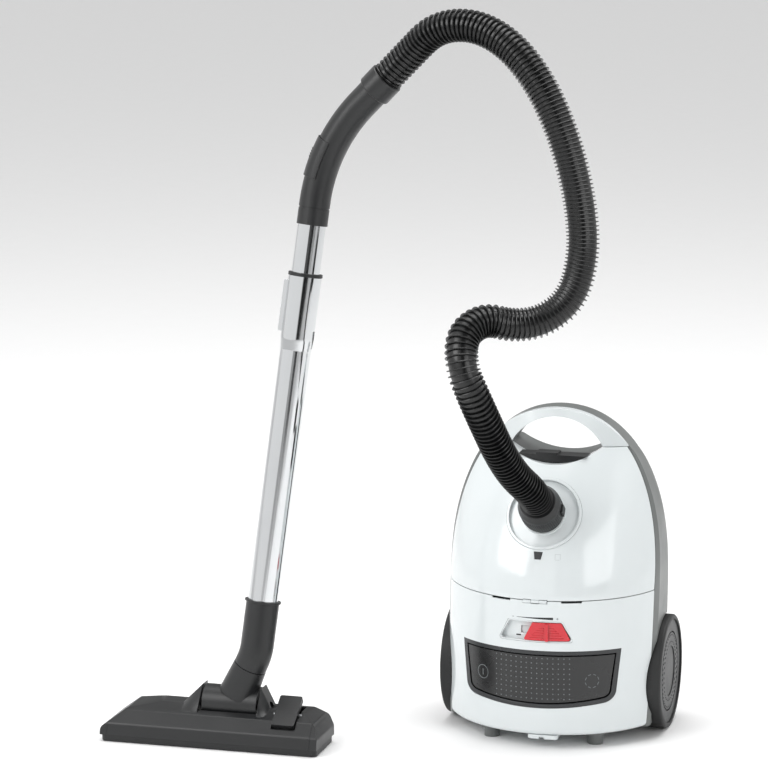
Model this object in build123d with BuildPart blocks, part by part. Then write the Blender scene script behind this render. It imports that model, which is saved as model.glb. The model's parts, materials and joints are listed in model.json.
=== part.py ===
from build123d import *

import math
import os

os.makedirs("parts", exist_ok=True)

# Bagged canister vacuum cleaner, parked upright on its rear end beside its wand.
# Frame: origin on the floor under the canister, X to its right, -Y towards its front
# (the face with the hose inlet), +Z up. All sizes in millimetres.

# ---------------------------------------------------------------- driving sizes
canister_height = 383.0      # floor to the top of the carrying handle
canister_width = 252.0       # across the parting between front and rear shells
crown_reach = 112.0          # front of the crown ahead of the origin
belly_reach = 80.0           # rear face behind the origin
base_gap = 17.0              # underside of the shells above the floor
seam_height = 179.0          # hinge seam between front shell and lid
lid_top = 341.0              # where the lid meets the feet of the handle
wall = 2.6                   # moulded wall of every shell
seam_gap = 0.5               # parting gap between neighbouring covers
running_fit = 0.06           # radial clearance of pins and shafts

wheel_diameter = 135.0
wheel_width = 30.0
wheel_track = 266.0          # over the outer faces
wheel_y = 31.0
axle_diameter = 9.0
arch_gap = 2.5

panel_half_top = 94.0
panel_half_bottom = 88.0
panel_border = 5.0
panel_gap = 1.6

slot_half_top = 32.5
slot_half_bottom = 45.0
slot_low, slot_high = 129.5, 155.0
slot_depth = 7.0
slider_travel = 14.0         # either way from the middle of its slot

inlet_height = 274.0
dish_diameter = 89.0
inlet_bore = 40.0
cuff_diameter = 50.0
cuff_length = 36.0
hose_diameter = 38.0
hose_bore = 31.0

tube_diameter = 35.6         # outer tube of the telescopic wand
tube_wall = 1.4
inner_tube_length = 480.0

head_length = 264.0
head_depth = 74.0
head_x = -366.0
head_front = -210.0
head_top = 43.0
pivot_y = -160.0
pivot_height = 44.0
pivot_radius = 21.0

widest_y = -12.0             # depth of the widest line at the seam
widest_slope = 0.115         # that line leans back as it rises
parting_y = -25.0            # parting between white covers and rear shell, at the seam
parting_slope = 0.185        # how far it leans back above the seam
parting_slope_low = 0.075    # and below the seam

inner_tube_diameter = tube_diameter - 2 * (tube_wall + running_fit)


def save(builder, name):
    """Labels a finished sub-part and writes its STEP file."""
    builder.part.label = name
    export_step(builder.part, f"parts/{name}.step")


def unit(x, y, z):
    """Unit vector along the three given components."""
    return Vector(x, y, z).normalized()


# ---------------------------------------------------------------- canister surface
def rise(z):
    """Share of the way from the seam to the handle's top, never below zero."""
    return max(0.0, (z - seam_height) / (canister_height - seam_height))


def drop(z):
    """Share of the way from the seam down to the floor, never below zero."""
    return max(0.0, (seam_height - z) / seam_height)


def half_width(z):
    """Half width of the body at the parting, an arch above the seam."""
    arch = (1 - min(rise(z), 0.999) ** 2.5) ** (1 / 2.1)
    return canister_width / 2 * arch * (1 - 0.055 * drop(z) ** 2)


def front_y(z):
    """Front of the crown on the centre plane."""
    lean = (rise(z) / 0.9) ** 1.6
    return -crown_reach * (1 - lean) * (1 - 0.06 * drop(z) ** 2)


def widest(z):
    """Depth of the body's widest line."""
    return widest_y + widest_slope * (z - seam_height)


def parting(z):
    """Depth of the parting plane between the white covers and the rear shell."""
    slope = parting_slope if z > seam_height else parting_slope_low
    return parting_y + slope * (z - seam_height)


def belly_y(z):
    """Rear face on the centre plane, which turns in towards the top."""
    return belly_reach * (1 - 0.6 * rise(z) ** 3)


def crown_section(z, inset=0.0, back=0.0):
    """Front half of the body at one height: an arc closed by a chord at the widest line."""
    w, f, b = half_width(z) - inset, front_y(z) + inset, widest(z) + back
    with BuildSketch(Plane.XY.offset(z)) as section:
        with BuildLine():
            ThreePointArc((-w, b), (0, f), (w, b))
            Line((w, b), (-w, b))
        make_face()
    return section.sketch


def belly_section(z, inset=0.0, ahead=0.0):
    """Rear half of the body at one height: a shallow tub with large corners."""
    w, b, r = half_width(z) - inset, widest(z) + ahead, belly_y(z) - inset
    corner = min(46.0, (r - b) * 0.55) - inset
    with BuildSketch(Plane.XY.offset(z)) as section:
        with BuildLine():
            FilletPolyline((w, b), (w, r), (-w, r), (-w, b), radius=corner)
            Line((-w, b), (w, b))
        make_face()
    return section.sketch


def heights(low, high, count):
    """Evenly spaced section heights, both ends included."""
    return [low + (high - low) * i / (count - 1) for i in range(count)]


def crown_solid(low, high, inset=0.0, back=0.0, count=7):
    """Solid of the front half between two heights."""
    with BuildPart() as solid:
        loft([crown_section(z, inset, back) for z in heights(low, high, count)])
    return solid.part


def belly_solid(low, high, inset=0.0, ahead=0.0, count=7):
    """Solid of the rear half between two heights."""
    with BuildPart() as solid:
        loft([belly_section(z, inset, ahead) for z in heights(low, high, count)])
    return solid.part



def half_space(side, gap=0.0):
    """Everything behind (side 1) or ahead (side -1) of the parting plane, short of it by the gap."""
    far = 400.0 * side
    with BuildPart() as space:
        with BuildSketch(Plane.YZ.offset(-200)):
            with BuildLine():
                top = canister_height + 20
                edge = [(parting(z) + gap * side, z) for z in (0, seam_height, top)]
                Polyline(*edge, (far, top), (far, 0), close=True)
            make_face()
        extrude(amount=400)
    return space.part


def face_plane(y):
    """Plane facing the front at one depth, with local x to the right and local y up."""
    return Plane(origin=(0, y, 0), x_dir=(1, 0, 0), z_dir=(0, -1, 0))


def rod(start, direction, length, radius, bore=0.0):
    """Round bar, or a tube when a bore radius is given, from a point along a direction."""
    with BuildPart() as bar:
        with BuildSketch(Plane(origin=start, z_dir=direction)):
            Circle(radius)
            if bore:
                Circle(bore, mode=Mode.SUBTRACT)
        extrude(amount=length)
    return bar.part


def block(low, high):
    """Box between two corners."""
    size = [h - l for l, h in zip(low, high)]
    middle = [(h + l) / 2 for l, h in zip(low, high)]
    return Pos(*middle) * Box(*size, mode=Mode.PRIVATE)


# ---------------------------------------------------------------- handle opening and outline
lens_half = 55.0
lens_low = 323.0             # lowest point of the finger scoop
lens_side = 341.0
lens_high = 374.0            # underside of the handle on the centre plane
handle_back = 36.0


def lens_outline(y, grow=0.0):
    """Finger opening under the handle, seen from the front."""
    with BuildSketch(face_plane(y)) as outline:
        with BuildLine():
            ThreePointArc((-lens_half - grow, lens_side), (0, lens_low - grow),
                          (lens_half + grow, lens_side))
            ThreePointArc((lens_half + grow, lens_side), (0, lens_high + grow),
                          (-lens_half - grow, lens_side))
        make_face()
    return outline.sketch


def lens_cut(grow=0.0):
    """The finger opening as a solid that runs right through the body."""
    with BuildPart() as cut:
        extrude(lens_outline(-130, grow), amount=-260)
    return cut.part


def arch_outline(y, low, outset=0.0):
    """Front outline of the handle above one height."""
    side = [(half_width(z) + outset, z) for z in (low, low + 12, low + 23, low + 33, low + 40)]
    points = side + [(0, canister_height + outset)] + [(-x, z) for x, z in reversed(side)]
    with BuildSketch(face_plane(y)) as outline:
        with BuildLine():
            Spline(*points)
            Line(points[-1], points[0])
        make_face()
    return outline.sketch


def handle_mass(front_low, front_high):
    """Bowed slab that gives the handle its curved front face."""
    with BuildPart() as mass:
        sections = []
        top = canister_height + 10
        reach = half_width(lid_top) + 2
        for z, front in ((lid_top - 10, front_low), (top, front_high)):
            with BuildSketch(Plane.XY.offset(z)) as section:
                with BuildLine():
                    ThreePointArc((-reach, widest(z)), (0, front), (reach, widest(z)))
                    Line((reach, widest(z)), (-reach, widest(z)))
                make_face()
            sections.append(section.sketch)
        loft(sections)
    return mass.part


def wheel_arches(radius, inner_x):
    """Clearance round both main wheels."""
    reach = canister_width
    right = rod((inner_x, wheel_y, wheel_diameter / 2), (1, 0, 0), reach, radius)
    left = rod((-inner_x, wheel_y, wheel_diameter / 2), (-1, 0, 0), reach, radius)
    return right + left


arch_radius = wheel_diameter / 2 + arch_gap
wheel_inner = wheel_track / 2 - wheel_width
arch_wall = wheel_inner - arch_gap
arch_housing = wheel_arches(arch_radius + wall, arch_wall - wall)

# ---------------------------------------------------------------- inlet frame
lean = math.atan2(front_y(inlet_height + 1) - front_y(inlet_height - 1), 2)
inlet_axis = Vector(0, -math.cos(lean), math.sin(lean))
inlet_centre = Vector(0, front_y(inlet_height), inlet_height)


def inlet_point(depth):
    """Point on the inlet's axis, outwards from the lid's surface."""
    return inlet_centre + inlet_axis * depth


# ---------------------------------------------------------------- front shell
panel_top_side, panel_top_mid = 119.0, 119.5
panel_low_side, panel_low_mid = 57.0, 50.0
panel_corner = 15.0


def panel_outline(y, inset):
    """Dark control panel: a smile-shaped band with round lower corners."""
    with BuildSketch(face_plane(y)) as outline:
        with BuildLine():
            top, low = panel_half_top - inset, panel_half_bottom - inset
            high, mid = panel_top_side - inset, panel_top_mid - inset
            foot, foot_mid = panel_low_side + inset, panel_low_mid + inset
            ThreePointArc((-top, high), (0, mid), (top, high))
            Line((top, high), (low, foot))
            ThreePointArc((low, foot), (0, foot_mid), (-low, foot))
            Line((-low, foot), (-top, high))
        make_face()
        fillet(outline.vertices().sort_by(Axis.Y)[:2], radius=panel_corner - inset)
    return outline.sketch


def through(sketch, depth):
    """Cutter that runs inwards from a front sketch."""
    with BuildPart() as cut:
        extrude(sketch, amount=-depth)
    return cut.part


def slot_outline(y, inset):
    """Trapezoid seat of the power slider."""
    low, high = slot_low + inset, slot_high - inset
    with BuildSketch(face_plane(y)) as outline:
        with BuildLine():
            Polyline((-slot_half_bottom + inset, low), (slot_half_bottom - inset, low),
                     (slot_half_top - inset, high), (-slot_half_top + inset, high), close=True)
        make_face()
        fillet(outline.vertices(), radius=3.0)
    return outline.sketch


hinge_y = -crown_reach + 1.0
hinge_z = seam_height - 1.4
knuckle_radius = 1.9
hinge_pin_radius = 0.9
knuckle_half = 14.0
knuckle_mid = 4.8            # half length of the lid's own knuckle
hinge_slot = (30.0, 53.0)    # nearest and furthest reach of each dark slot in the seam
screw_spots = [(x, z) for x in (-52.0, 52.0) for z in (32.0, 156.0)]
screw_head = 4.0             # radii of a screw's head and shank
screw_shank = 2.0
screw_length = 8.0
screw_seat = belly_reach - 3.4

with BuildPart() as front_shell:
    add(crown_solid(base_gap, seam_height - seam_gap))
    fillet(front_shell.edges().group_by(Axis.Z)[0].filter_by(GeomType.LINE, reverse=True), radius=6.0)
    add(crown_solid(base_gap + wall, seam_height + 1, wall, 1.0) - arch_housing, mode=Mode.SUBTRACT)
    add(half_space(1), mode=Mode.SUBTRACT)
    add(wheel_arches(arch_radius, arch_wall), mode=Mode.SUBTRACT)
    add(through(panel_outline(-130, 0.0), 75), mode=Mode.SUBTRACT)
    add(through(slot_outline(-130, 0.0), 60), mode=Mode.SUBTRACT)
    add(block((-knuckle_half - 0.5, -130, hinge_z - 2.6), (knuckle_half + 0.5, -104, seam_height)),
        mode=Mode.SUBTRACT)
    for side in (-1, 1):
        near, far = sorted((side * hinge_slot[0], side * hinge_slot[1]))
        add(block((near, -130, seam_height - 2.4), (far, -90, seam_height)), mode=Mode.SUBTRACT)
    for side in (-1, 1):
        near, far = sorted((side * (knuckle_mid + 0.4), side * knuckle_half))
        add(rod((near, hinge_y, hinge_z), (1, 0, 0), far - near, knuckle_radius))
        add(block((near, hinge_y, hinge_z - 6), (far, hinge_y + knuckle_radius, hinge_z)))
    add(rod((-knuckle_half - 0.3, hinge_y, hinge_z), (1, 0, 0), 2 * knuckle_half + 0.6, hinge_pin_radius),
        mode=Mode.SUBTRACT)
save(front_shell, "front_shell")

# ---------------------------------------------------------------- lid
dish_radius = dish_diameter / 2


def window_outline(y, grow=0.0):
    """Small trapezoid window of the bag-full indicator."""
    with BuildSketch(face_plane(y)) as outline:
        with BuildLine():
            Polyline((-3.6 - grow, 225 - grow), (3.6 + grow, 225 - grow),
                     (5.2 + grow, 233 + grow), (-5.2 - grow, 233 + grow), close=True)
        make_face()
    return outline.sketch


with BuildPart() as lid:
    add(crown_solid(seam_height + seam_gap, lid_top, count=9))
    hollow = crown_solid(seam_height - 1, lid_top - wall, wall, 1.0, count=9) - lens_cut(wall)
    add(hollow, mode=Mode.SUBTRACT)
    add(half_space(1, -seam_gap), mode=Mode.SUBTRACT)
    add(lens_cut(), mode=Mode.SUBTRACT)
    add(rod(inlet_point(-30), inlet_axis, 60, dish_radius + 0.3), mode=Mode.SUBTRACT)
    add(block((-knuckle_half - 0.5, -130, seam_height - 1),
              (knuckle_half + 0.5, -106, hinge_z + 2.6)), mode=Mode.SUBTRACT)
    add(block((-8.5, -25, lens_low - 6), (8.5, -7, lens_low + 4)), mode=Mode.SUBTRACT)
    add(through(window_outline(-140, 0.15), 80), mode=Mode.SUBTRACT)
    add(rod((-knuckle_mid, hinge_y, hinge_z), (1, 0, 0), 2 * knuckle_mid, knuckle_radius))
    add(block((-knuckle_mid, hinge_y, hinge_z + 0.4), (knuckle_mid, hinge_y + knuckle_radius, hinge_z + 9)))
    add(rod((-20, hinge_y, hinge_z), (1, 0, 0), 40, hinge_pin_radius + running_fit), mode=Mode.SUBTRACT)
save(lid, "lid")


# ---------------------------------------------------------------- rear shell and handle cover
pocket_radius = 24.0         # caster pocket in the belly
caster_z = 285.0
caster_boss = 14.0
caster_stem = 4.0
pocket_floor = 57.0
grille_half = 46.0
grille_low, grille_high = 60.0, 136.0
bulkhead_z = 164.0


def body_mass(inset=0.0):
    """Everything behind the crown's front, from the base to the foot of the handle."""
    low, high = base_gap + inset, lid_top - 2 * inset
    crown = crown_solid(low, high, inset, 0.01, count=9)
    return crown + belly_solid(low, high, inset, 0.0, count=9)


with BuildPart() as rear_shell:
    add(body_mass())
    arch = through(arch_outline(parting(lid_top), lid_top - 4), handle_back - parting(lid_top))
    add(arch)
    add(body_mass(wall) - lens_cut(wall) - arch_housing, mode=Mode.SUBTRACT)
    add(half_space(-1, -seam_gap), mode=Mode.SUBTRACT)
    add(lens_cut(), mode=Mode.SUBTRACT)
    boss = rod((0, pocket_floor - wall, caster_z), (0, 1, 0), 40, pocket_radius + wall)
    add(boss & belly_solid(base_gap, lid_top, count=9))
    add(rod((0, pocket_floor - caster_boss, caster_z), (0, 1, 0), caster_boss, 9))
    add(rod((0, pocket_floor, caster_z), (0, 1, 0), 40, pocket_radius), mode=Mode.SUBTRACT)
    stem_bore = caster_stem + running_fit
    add(rod((0, pocket_floor - 20, caster_z), (0, 1, 0), 40, stem_bore), mode=Mode.SUBTRACT)
    for x, z in screw_spots:
        add(rod((x, screw_seat - screw_length, z), (0, 1, 0),
                belly_reach - wall / 2 - screw_seat + screw_length, screw_head + 2))
        add(rod((x, screw_seat, z), (0, 1, 0), 20, screw_head + 0.1), mode=Mode.SUBTRACT)
        add(rod((x, screw_seat - 20, z), (0, 1, 0), 30, screw_shank), mode=Mode.SUBTRACT)
    for side in (-1, 1):
        add(rod((side * (arch_wall - 10), wheel_y, wheel_diameter / 2), (side, 0, 0), 20, axle_diameter / 2),
            mode=Mode.SUBTRACT)
    add(wheel_arches(arch_radius, arch_wall), mode=Mode.SUBTRACT)
    add(block((-grille_half, belly_reach - 8, grille_low), (grille_half, belly_reach + 5, grille_high)),
        mode=Mode.SUBTRACT)
save(rear_shell, "rear_shell")

with BuildPart() as handle_cover:
    outline = through(arch_outline(-60, lid_top + seam_gap), 120)
    add((outline & handle_mass(-16, 2)) - half_space(1, -0.01))
    add(lens_cut(), mode=Mode.SUBTRACT)
save(handle_cover, "handle_cover")

# ---------------------------------------------------------------- control panel and slider
panel_inset = 0.3            # panel face below the shell's surface
pedal_inset = 1.2
panel_thickness = 3.0


def crown_skin(low, high, outer, inner):
    """Curved plate that follows the front of the body."""
    return crown_solid(low, high, outer, 0.0) - crown_solid(low - 1, high + 1, inner, 1.0)


rib_front = front_y(88) + pedal_inset + panel_thickness - 0.4
pedal_axis_y = rib_front + 9
ledge_y = pedal_axis_y + 9
with BuildPart() as panel_frame:
    band = crown_skin(base_gap + 8, seam_height - 20, panel_inset, panel_inset + 5)
    window = through(panel_outline(-130, 0.15), 75) - through(panel_outline(-130, panel_border), 75)
    add(band & window)
    for z in (52.5, 112.0):
        add(block((-7, pedal_axis_y - 5, z), (7, pedal_axis_y + 12, z + 3.0)))
    add(block((-7, ledge_y, 52.5), (7, ledge_y + 3, 115)))
    add(block((-54, ledge_y, 82), (54, ledge_y + 3, 90)))
    # ties from the bracket to the frame, below and above the pedal
    add(block((-7, front_y(52) + 3.0, 52.5), (7, pedal_axis_y, 54.4)))
    add(block((-7, front_y(117) + 3.0, 113.4), (7, pedal_axis_y, 115)))
    add(rod((0, pedal_axis_y, 40), (0, 0, 1), 90, 1.5), mode=Mode.SUBTRACT)
save(panel_frame, "panel_frame")

with BuildPart() as pedal_panel:
    band = crown_skin(base_gap + 8, seam_height - 20, pedal_inset, pedal_inset + panel_thickness)
    add(band & through(panel_outline(-130, panel_border + panel_gap), 75))
    add(block((-2, rib_front, 60), (2, pedal_axis_y, 108)))
    add(rod((0, pedal_axis_y, 58), (0, 0, 1), 52, 3.4))
    add(rod((0, pedal_axis_y, 50), (0, 0, 1), 70, 1.5 + running_fit), mode=Mode.SUBTRACT)
save(pedal_panel, "pedal_panel")

with BuildPart() as pedal_pin:
    add(rod((0, pedal_axis_y, 52), (0, 0, 1), 64, 1.5))
save(pedal_pin, "pedal_pin")

spring_wire = 0.9
spring_x = 48.0


def coil(start, direction, length, radius, turns):
    """Compression spring as a helix of round wire."""
    base = Plane(origin=start, z_dir=direction)
    path = base * Helix(pitch=length / turns, height=length, radius=radius)
    with BuildPart() as spring:
        with BuildSketch(Plane(origin=path @ 0, z_dir=path % 0)):
            Circle(spring_wire / 2)
        sweep(path=path)
    return spring.part


with BuildPart() as pedal_springs:
    for side in (-1, 1):
        add(coil(Vector(side * spring_x, ledge_y - spring_wire / 2 - 0.05, 86), (0, -1, 0), 4.6, 3.4, 3))
save(pedal_springs, "pedal_springs")

with BuildPart() as slider_bezel:
    band = crown_skin(slot_low - 10, slot_high + 10, 0.3, slot_depth + 1.6)
    tray = crown_skin(slot_low - 10, slot_high + 10, -2.0, slot_depth)
    add(band & through(slot_outline(-130, 0.15), 60))
    add(tray & through(slot_outline(-130, 1.6), 60), mode=Mode.SUBTRACT)
    tail = slider_travel + 4.0
    add(block((-tail, -130, slot_low + 8.5), (tail, -80, slot_high - 8.5)), mode=Mode.SUBTRACT)
save(slider_bezel, "slider_bezel")

knob_half_low, knob_half_high = 27.5, 17.0
knob_low, knob_high = slot_low + 2.2, slot_high - 2.2
slot_mid = (slot_low + slot_high) / 2
arc_reach = half_width(slot_mid)
arc_depth = widest(slot_mid) - front_y(slot_mid)
arc_radius = (arc_reach ** 2 + arc_depth ** 2) / (2 * arc_depth)
slide_axis_y = front_y(slot_mid) + arc_radius
knob_turn = math.degrees(slider_travel / arc_radius)
with BuildPart() as centred_knob:
    with BuildSketch(face_plane(-130)) as knob_face:
        with BuildLine():
            Polyline((-knob_half_low, knob_low), (knob_half_low, knob_low),
                     (knob_half_high, knob_high), (-knob_half_high, knob_high), close=True)
        make_face()
        fillet(knob_face.vertices(), radius=1.5)
    extrude(amount=-80)
    add(crown_skin(slot_low - 10, slot_high + 10, 0.3, slot_depth - 0.6), mode=Mode.INTERSECT)
    front = front_y(slot_mid)
    add(block((-1.8, front - 2.0, knob_low - 0.4), (1.8, front + slot_depth - 1.2, knob_high - 1.0)))
    add(block((-3, front + slot_depth - 2, slot_mid - 1), (3, front + slot_depth + 8, slot_mid + 1)))
with BuildPart() as slider_knob:
    add(centred_knob.part.rotate(Axis((0, slide_axis_y, 0), (0, 0, 1)), knob_turn))
save(slider_knob, "slider_knob")

with BuildPart() as circuit_board:
    add(block((-44, -crown_reach + 21, 128), (44, -crown_reach + 22.6, 156)))
    add(block((-30, -crown_reach + 18.6, 138), (30, -crown_reach + 21, 146)))
    for x in (-34, 36):
        add(rod((x, -crown_reach + 22.6, 150), (0, 1, 0), 12, 4))
save(circuit_board, "circuit_board")

# ---------------------------------------------------------------- lid fittings
socket_radius = cuff_diameter / 2 - 2.0
socket_wall = 2.4
socket_depth = 24.0
with BuildPart() as inlet_dish:
    low, high = inlet_height - 55, inlet_height + 48
    skin = crown_skin(low, high, -1.2, 8.0) & rod(inlet_point(-40), inlet_axis, 60, dish_radius)
    add(skin)
    recess = crown_skin(low, high, -9, 4.4) & rod(inlet_point(-40), inlet_axis, 60, dish_radius - 3.2)
    add(recess, mode=Mode.SUBTRACT)
    add(rod(inlet_point(-socket_depth), inlet_axis, socket_depth - 3, socket_radius + socket_wall))
    add(rod(inlet_point(-socket_depth - 1), inlet_axis, 40, socket_radius), mode=Mode.SUBTRACT)
save(inlet_dish, "inlet_dish")

with BuildPart() as inlet_seal:
    add(rod(inlet_point(-socket_depth - 3), inlet_axis, 3.0, socket_radius + socket_wall, inlet_bore / 2))
save(inlet_seal, "inlet_seal")

with BuildPart() as indicator_window:
    extrude(window_outline(-140), amount=-80)
    add(crown_skin(215, 245, -0.3, 2.2), mode=Mode.INTERSECT)
save(indicator_window, "indicator_window")

with BuildPart() as lid_seal:
    strip = crown_skin(seam_height + 1.5, seam_height + 5, wall + 0.35, wall + 3.2)
    add(strip - half_space(1, -seam_gap - 1))
    add(block((-16, -130, seam_height - 1), (16, -100, seam_height + 9)), mode=Mode.SUBTRACT)
save(lid_seal, "lid_seal")

with BuildPart() as hinge_pin:
    add(rod((-knuckle_half, hinge_y, hinge_z), (1, 0, 0), 2 * knuckle_half, hinge_pin_radius))
save(hinge_pin, "hinge_pin")

# latch in the finger scoop
latch_top = 333.0
with BuildPart() as latch_button:
    with BuildSketch(face_plane(-27)):
        with BuildLine():
            ThreePointArc((-lens_half, lens_side + 0.6), (0, lens_low + 0.6), (lens_half, lens_side + 0.6))
            Line((lens_half, lens_side + 0.6), (-lens_half, lens_side + 0.6))
        make_face()
        with Locations((0, latch_top + 50)):
            Rectangle(300, 100, mode=Mode.SUBTRACT)
    extrude(amount=-22)
    add(block((-20, -27, latch_top - 2), (6, -9, latch_top + 2.4)))
    add(block((-6, -20, lens_low - 10), (6, -12, lens_low + 4)))
    add(block((-6, -20, lens_low - 12), (6, -3, lens_low - 8)))
save(latch_button, "latch_button")

# ---------------------------------------------------------------- canister interior
with BuildPart() as bulkhead:
    plate = crown_solid(bulkhead_z, bulkhead_z + 3, wall + 0.5, 0.01, count=2)
    plate += belly_solid(bulkhead_z, bulkhead_z + 3, wall + 0.5, 0.0, count=2)
    add(plate)
    for i in range(7):
        x = -72 + 9 * i
        add(block((x, -18, bulkhead_z - 1), (x + 4.5, 34, bulkhead_z + 4)), mode=Mode.SUBTRACT)
    add(block((-20, -130, bulkhead_z - 1), (20, -98, bulkhead_z + 4)), mode=Mode.SUBTRACT)
save(bulkhead, "bulkhead")

with BuildPart() as premotor_filter:
    add(block((-76, -22, bulkhead_z + 3.2), (-8, 38, bulkhead_z + 11)))
save(premotor_filter, "premotor_filter")

motor_x, motor_y = -46.0, 14.0
housing_radius = 50.0
with BuildPart() as motor_housing:
    add(rod((motor_x, motor_y, 34), (0, 0, 1), 118, housing_radius, housing_radius - 2.5))
    add(rod((motor_x, motor_y, 31.5), (0, 0, 1), 2.6, housing_radius))
    for i in range(6):
        turn = math.radians(60 * i)
        spot = (motor_x + 30 * math.cos(turn), motor_y + 30 * math.sin(turn), 28)
        add(rod(spot, (0, 0, 1), 8, 7), mode=Mode.SUBTRACT)
save(motor_housing, "motor_housing")

with BuildPart() as motor_can:
    add(rod((motor_x, motor_y, 34.3), (0, 0, 1), 8.3, 46, 38))
    add(rod((motor_x, motor_y, 42.5), (0, 0, 1), 70, 42, 25))
    add(rod((motor_x, motor_y, 42.5), (0, 0, 1), 4, 30, 4.2))
    add(rod((motor_x, motor_y, 108.5), (0, 0, 1), 4, 42, 4.2))
save(motor_can, "motor_can")

with BuildPart() as motor_rotor:
    add(rod((motor_x, motor_y, 38), (0, 0, 1), 96, 4))
    add(rod((motor_x, motor_y, 52), (0, 0, 1), 50, 24))
    add(rod((motor_x, motor_y, 118), (0, 0, 1), 2, 40))
    add(rod((motor_x, motor_y, 129), (0, 0, 1), 2, 40, 14))
    for i in range(7):
        turn = 360 / 7 * i
        blade = block((14, -0.8, 119.5), (39, 0.8, 129.5))
        add(Pos(motor_x, motor_y, 0) * Rot(0, 0, turn) * blade)
save(motor_rotor, "motor_rotor")

reel_x, reel_y, reel_z = 30.0, 14.0, 88.0
reel_width = 44.0
reel_radius = 51.0
with BuildPart() as reel_drum:
    add(rod((reel_x + 4, reel_y, reel_z), (1, 0, 0), reel_width, 22, 6 + running_fit))
    for x in (reel_x + 4, reel_x + 2 + reel_width):
        add(rod((x, reel_y, reel_z), (1, 0, 0), 2, reel_radius, 6 + running_fit))
save(reel_drum, "reel_drum")

with BuildPart() as reel_frame:
    for x in (reel_x, reel_x + 5.5 + reel_width):
        add(block((x, reel_y - 30, base_gap + wall + 0.2), (x + 2.5, reel_y + 30, reel_z + 14)))
    add(block((reel_x, reel_y - 30, base_gap + wall + 0.2),
              (reel_x + reel_width + 8, reel_y + 30, base_gap + wall + 2.6)))
    add(rod((reel_x, reel_y, reel_z), (1, 0, 0), reel_width + 8, 6))
    add(rod((reel_x + reel_width + 7.9, reel_y, reel_z), (1, 0, 0), 6, 26))
save(reel_frame, "reel_frame")

# exhaust in the belly
with BuildPart() as exhaust_grille:
    add(block((-grille_half + 0.3, belly_reach - 4, grille_low + 0.3),
              (grille_half - 0.3, belly_reach - 0.2, grille_high - 0.3)))
    for i in range(9):
        z = grille_low + 6 + 7.8 * i
        add(block((-grille_half + 6, belly_reach - 6, z), (grille_half - 6, belly_reach + 2, z + 3.6)),
            mode=Mode.SUBTRACT)
    add(block((-1.5, belly_reach - 4, grille_low + 2), (1.5, belly_reach - 0.2, grille_high - 2)))
save(exhaust_grille, "exhaust_grille")

with BuildPart() as exhaust_filter:
    add(block((-grille_half - 1, belly_reach - 13, grille_low - 1),
              (grille_half + 1, belly_reach - 8.4, grille_high + 1)))
save(exhaust_filter, "exhaust_filter")

# bag and its holder
holder_depth = socket_depth + 5.0
with BuildPart() as bag_holder:
    with BuildSketch(Plane(origin=inlet_point(-holder_depth - 2.4), x_dir=(1, 0, 0), z_dir=inlet_axis)):
        RectangleRounded(104, 78, 8)
        Circle(inlet_bore / 2, mode=Mode.SUBTRACT)
    extrude(amount=2.2)
    foot_y = inlet_point(-holder_depth).Y - 39 * inlet_axis.Z
    for side in (-1, 1):
        near, far = sorted((side * 40, side * 46))
        add(block((near, foot_y - 3, bulkhead_z + 3.05), (far, foot_y + 3, 228)))
save(bag_holder, "bag_holder")

bag_low, bag_high = bulkhead_z + 13.0, 290.0
bag_front, bag_back = -26.0, 40.0
bag_half = 84.0
with BuildPart() as dust_bag:
    add(block((-bag_half, bag_front, bag_low), (bag_half, bag_back, bag_high)))
    fillet(dust_bag.edges(), radius=16)
    add(rod(inlet_point(-holder_depth - 2.5), -inlet_axis, 30, inlet_bore / 2 + 3))
save(dust_bag, "dust_bag")

# ---------------------------------------------------------------- feet, outlet, wheels, caster
foot_spots = [(-62.0, -62.0), (62.0, -62.0)]
with BuildPart() as parking_feet:
    add(block((-9, -9, 0), (9, 62, base_gap - 0.05)))
    fillet(parking_feet.edges().filter_by(Axis.Z), radius=8)
    for x, y in foot_spots:
        add(rod((x, y, 0), (0, 0, 1), base_gap - 0.05, 9))
        add(rod((x, y, base_gap - 6), (0, 0, 1), 6 - 0.05, 12))
save(parking_feet, "parking_feet")

with BuildPart() as cord_outlet:
    add(block((-10, -104, base_gap - 5.5), (26, -84, base_gap - 0.05)))
    fillet(cord_outlet.edges().filter_by(Axis.Z), radius=5)
    fillet(cord_outlet.faces().sort_by(Axis.Z)[0].edges(), radius=2)
    add(block((4, -110, base_gap - 8), (10, -96, base_gap - 2.4)), mode=Mode.SUBTRACT)
    add(rod((8, -90, 0), (0, 0, 1), 40, 4.2), mode=Mode.SUBTRACT)
save(cord_outlet, "cord_outlet")

hub_bore = axle_diameter / 2 + running_fit
tyre_thickness = 6.0
disc_radius = wheel_diameter / 2 - tyre_thickness


def wheel_parts(side, label):
    """Tyre and disc of one main wheel."""
    centre = Vector(side * wheel_inner, wheel_y, wheel_diameter / 2)
    out = Vector(side, 0, 0)
    with BuildPart() as tyre:
        add(rod(centre, out, wheel_width, wheel_diameter / 2))
        rims = tyre.edges().filter_by(GeomType.CIRCLE)
        fillet(rims, radius=3.0)
        add(rod(centre - out, out, wheel_width + 2, disc_radius), mode=Mode.SUBTRACT)
    save(tyre, f"tyre_{label}")
    with BuildPart() as disc:
        add(rod(centre + out * 6, out, wheel_width - 8, disc_radius - 0.02))
        face = centre + out * (wheel_width - 4)
        add(rod(face, out, 4, disc_radius - 14, disc_radius - 16), mode=Mode.SUBTRACT)
        add(rod(centre + out * (wheel_width - 3), out, 2, 30), mode=Mode.SUBTRACT)
        add(rod(centre + out * 6, out, 10, disc_radius - 6, 14), mode=Mode.SUBTRACT)
        add(rod(centre + out * 4, out, wheel_width - 9, hub_bore), mode=Mode.SUBTRACT)
    save(disc, f"wheel_disc_{label}")


for side, label in ((-1, "left"), (1, "right")):
    wheel_parts(side, label)

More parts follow.
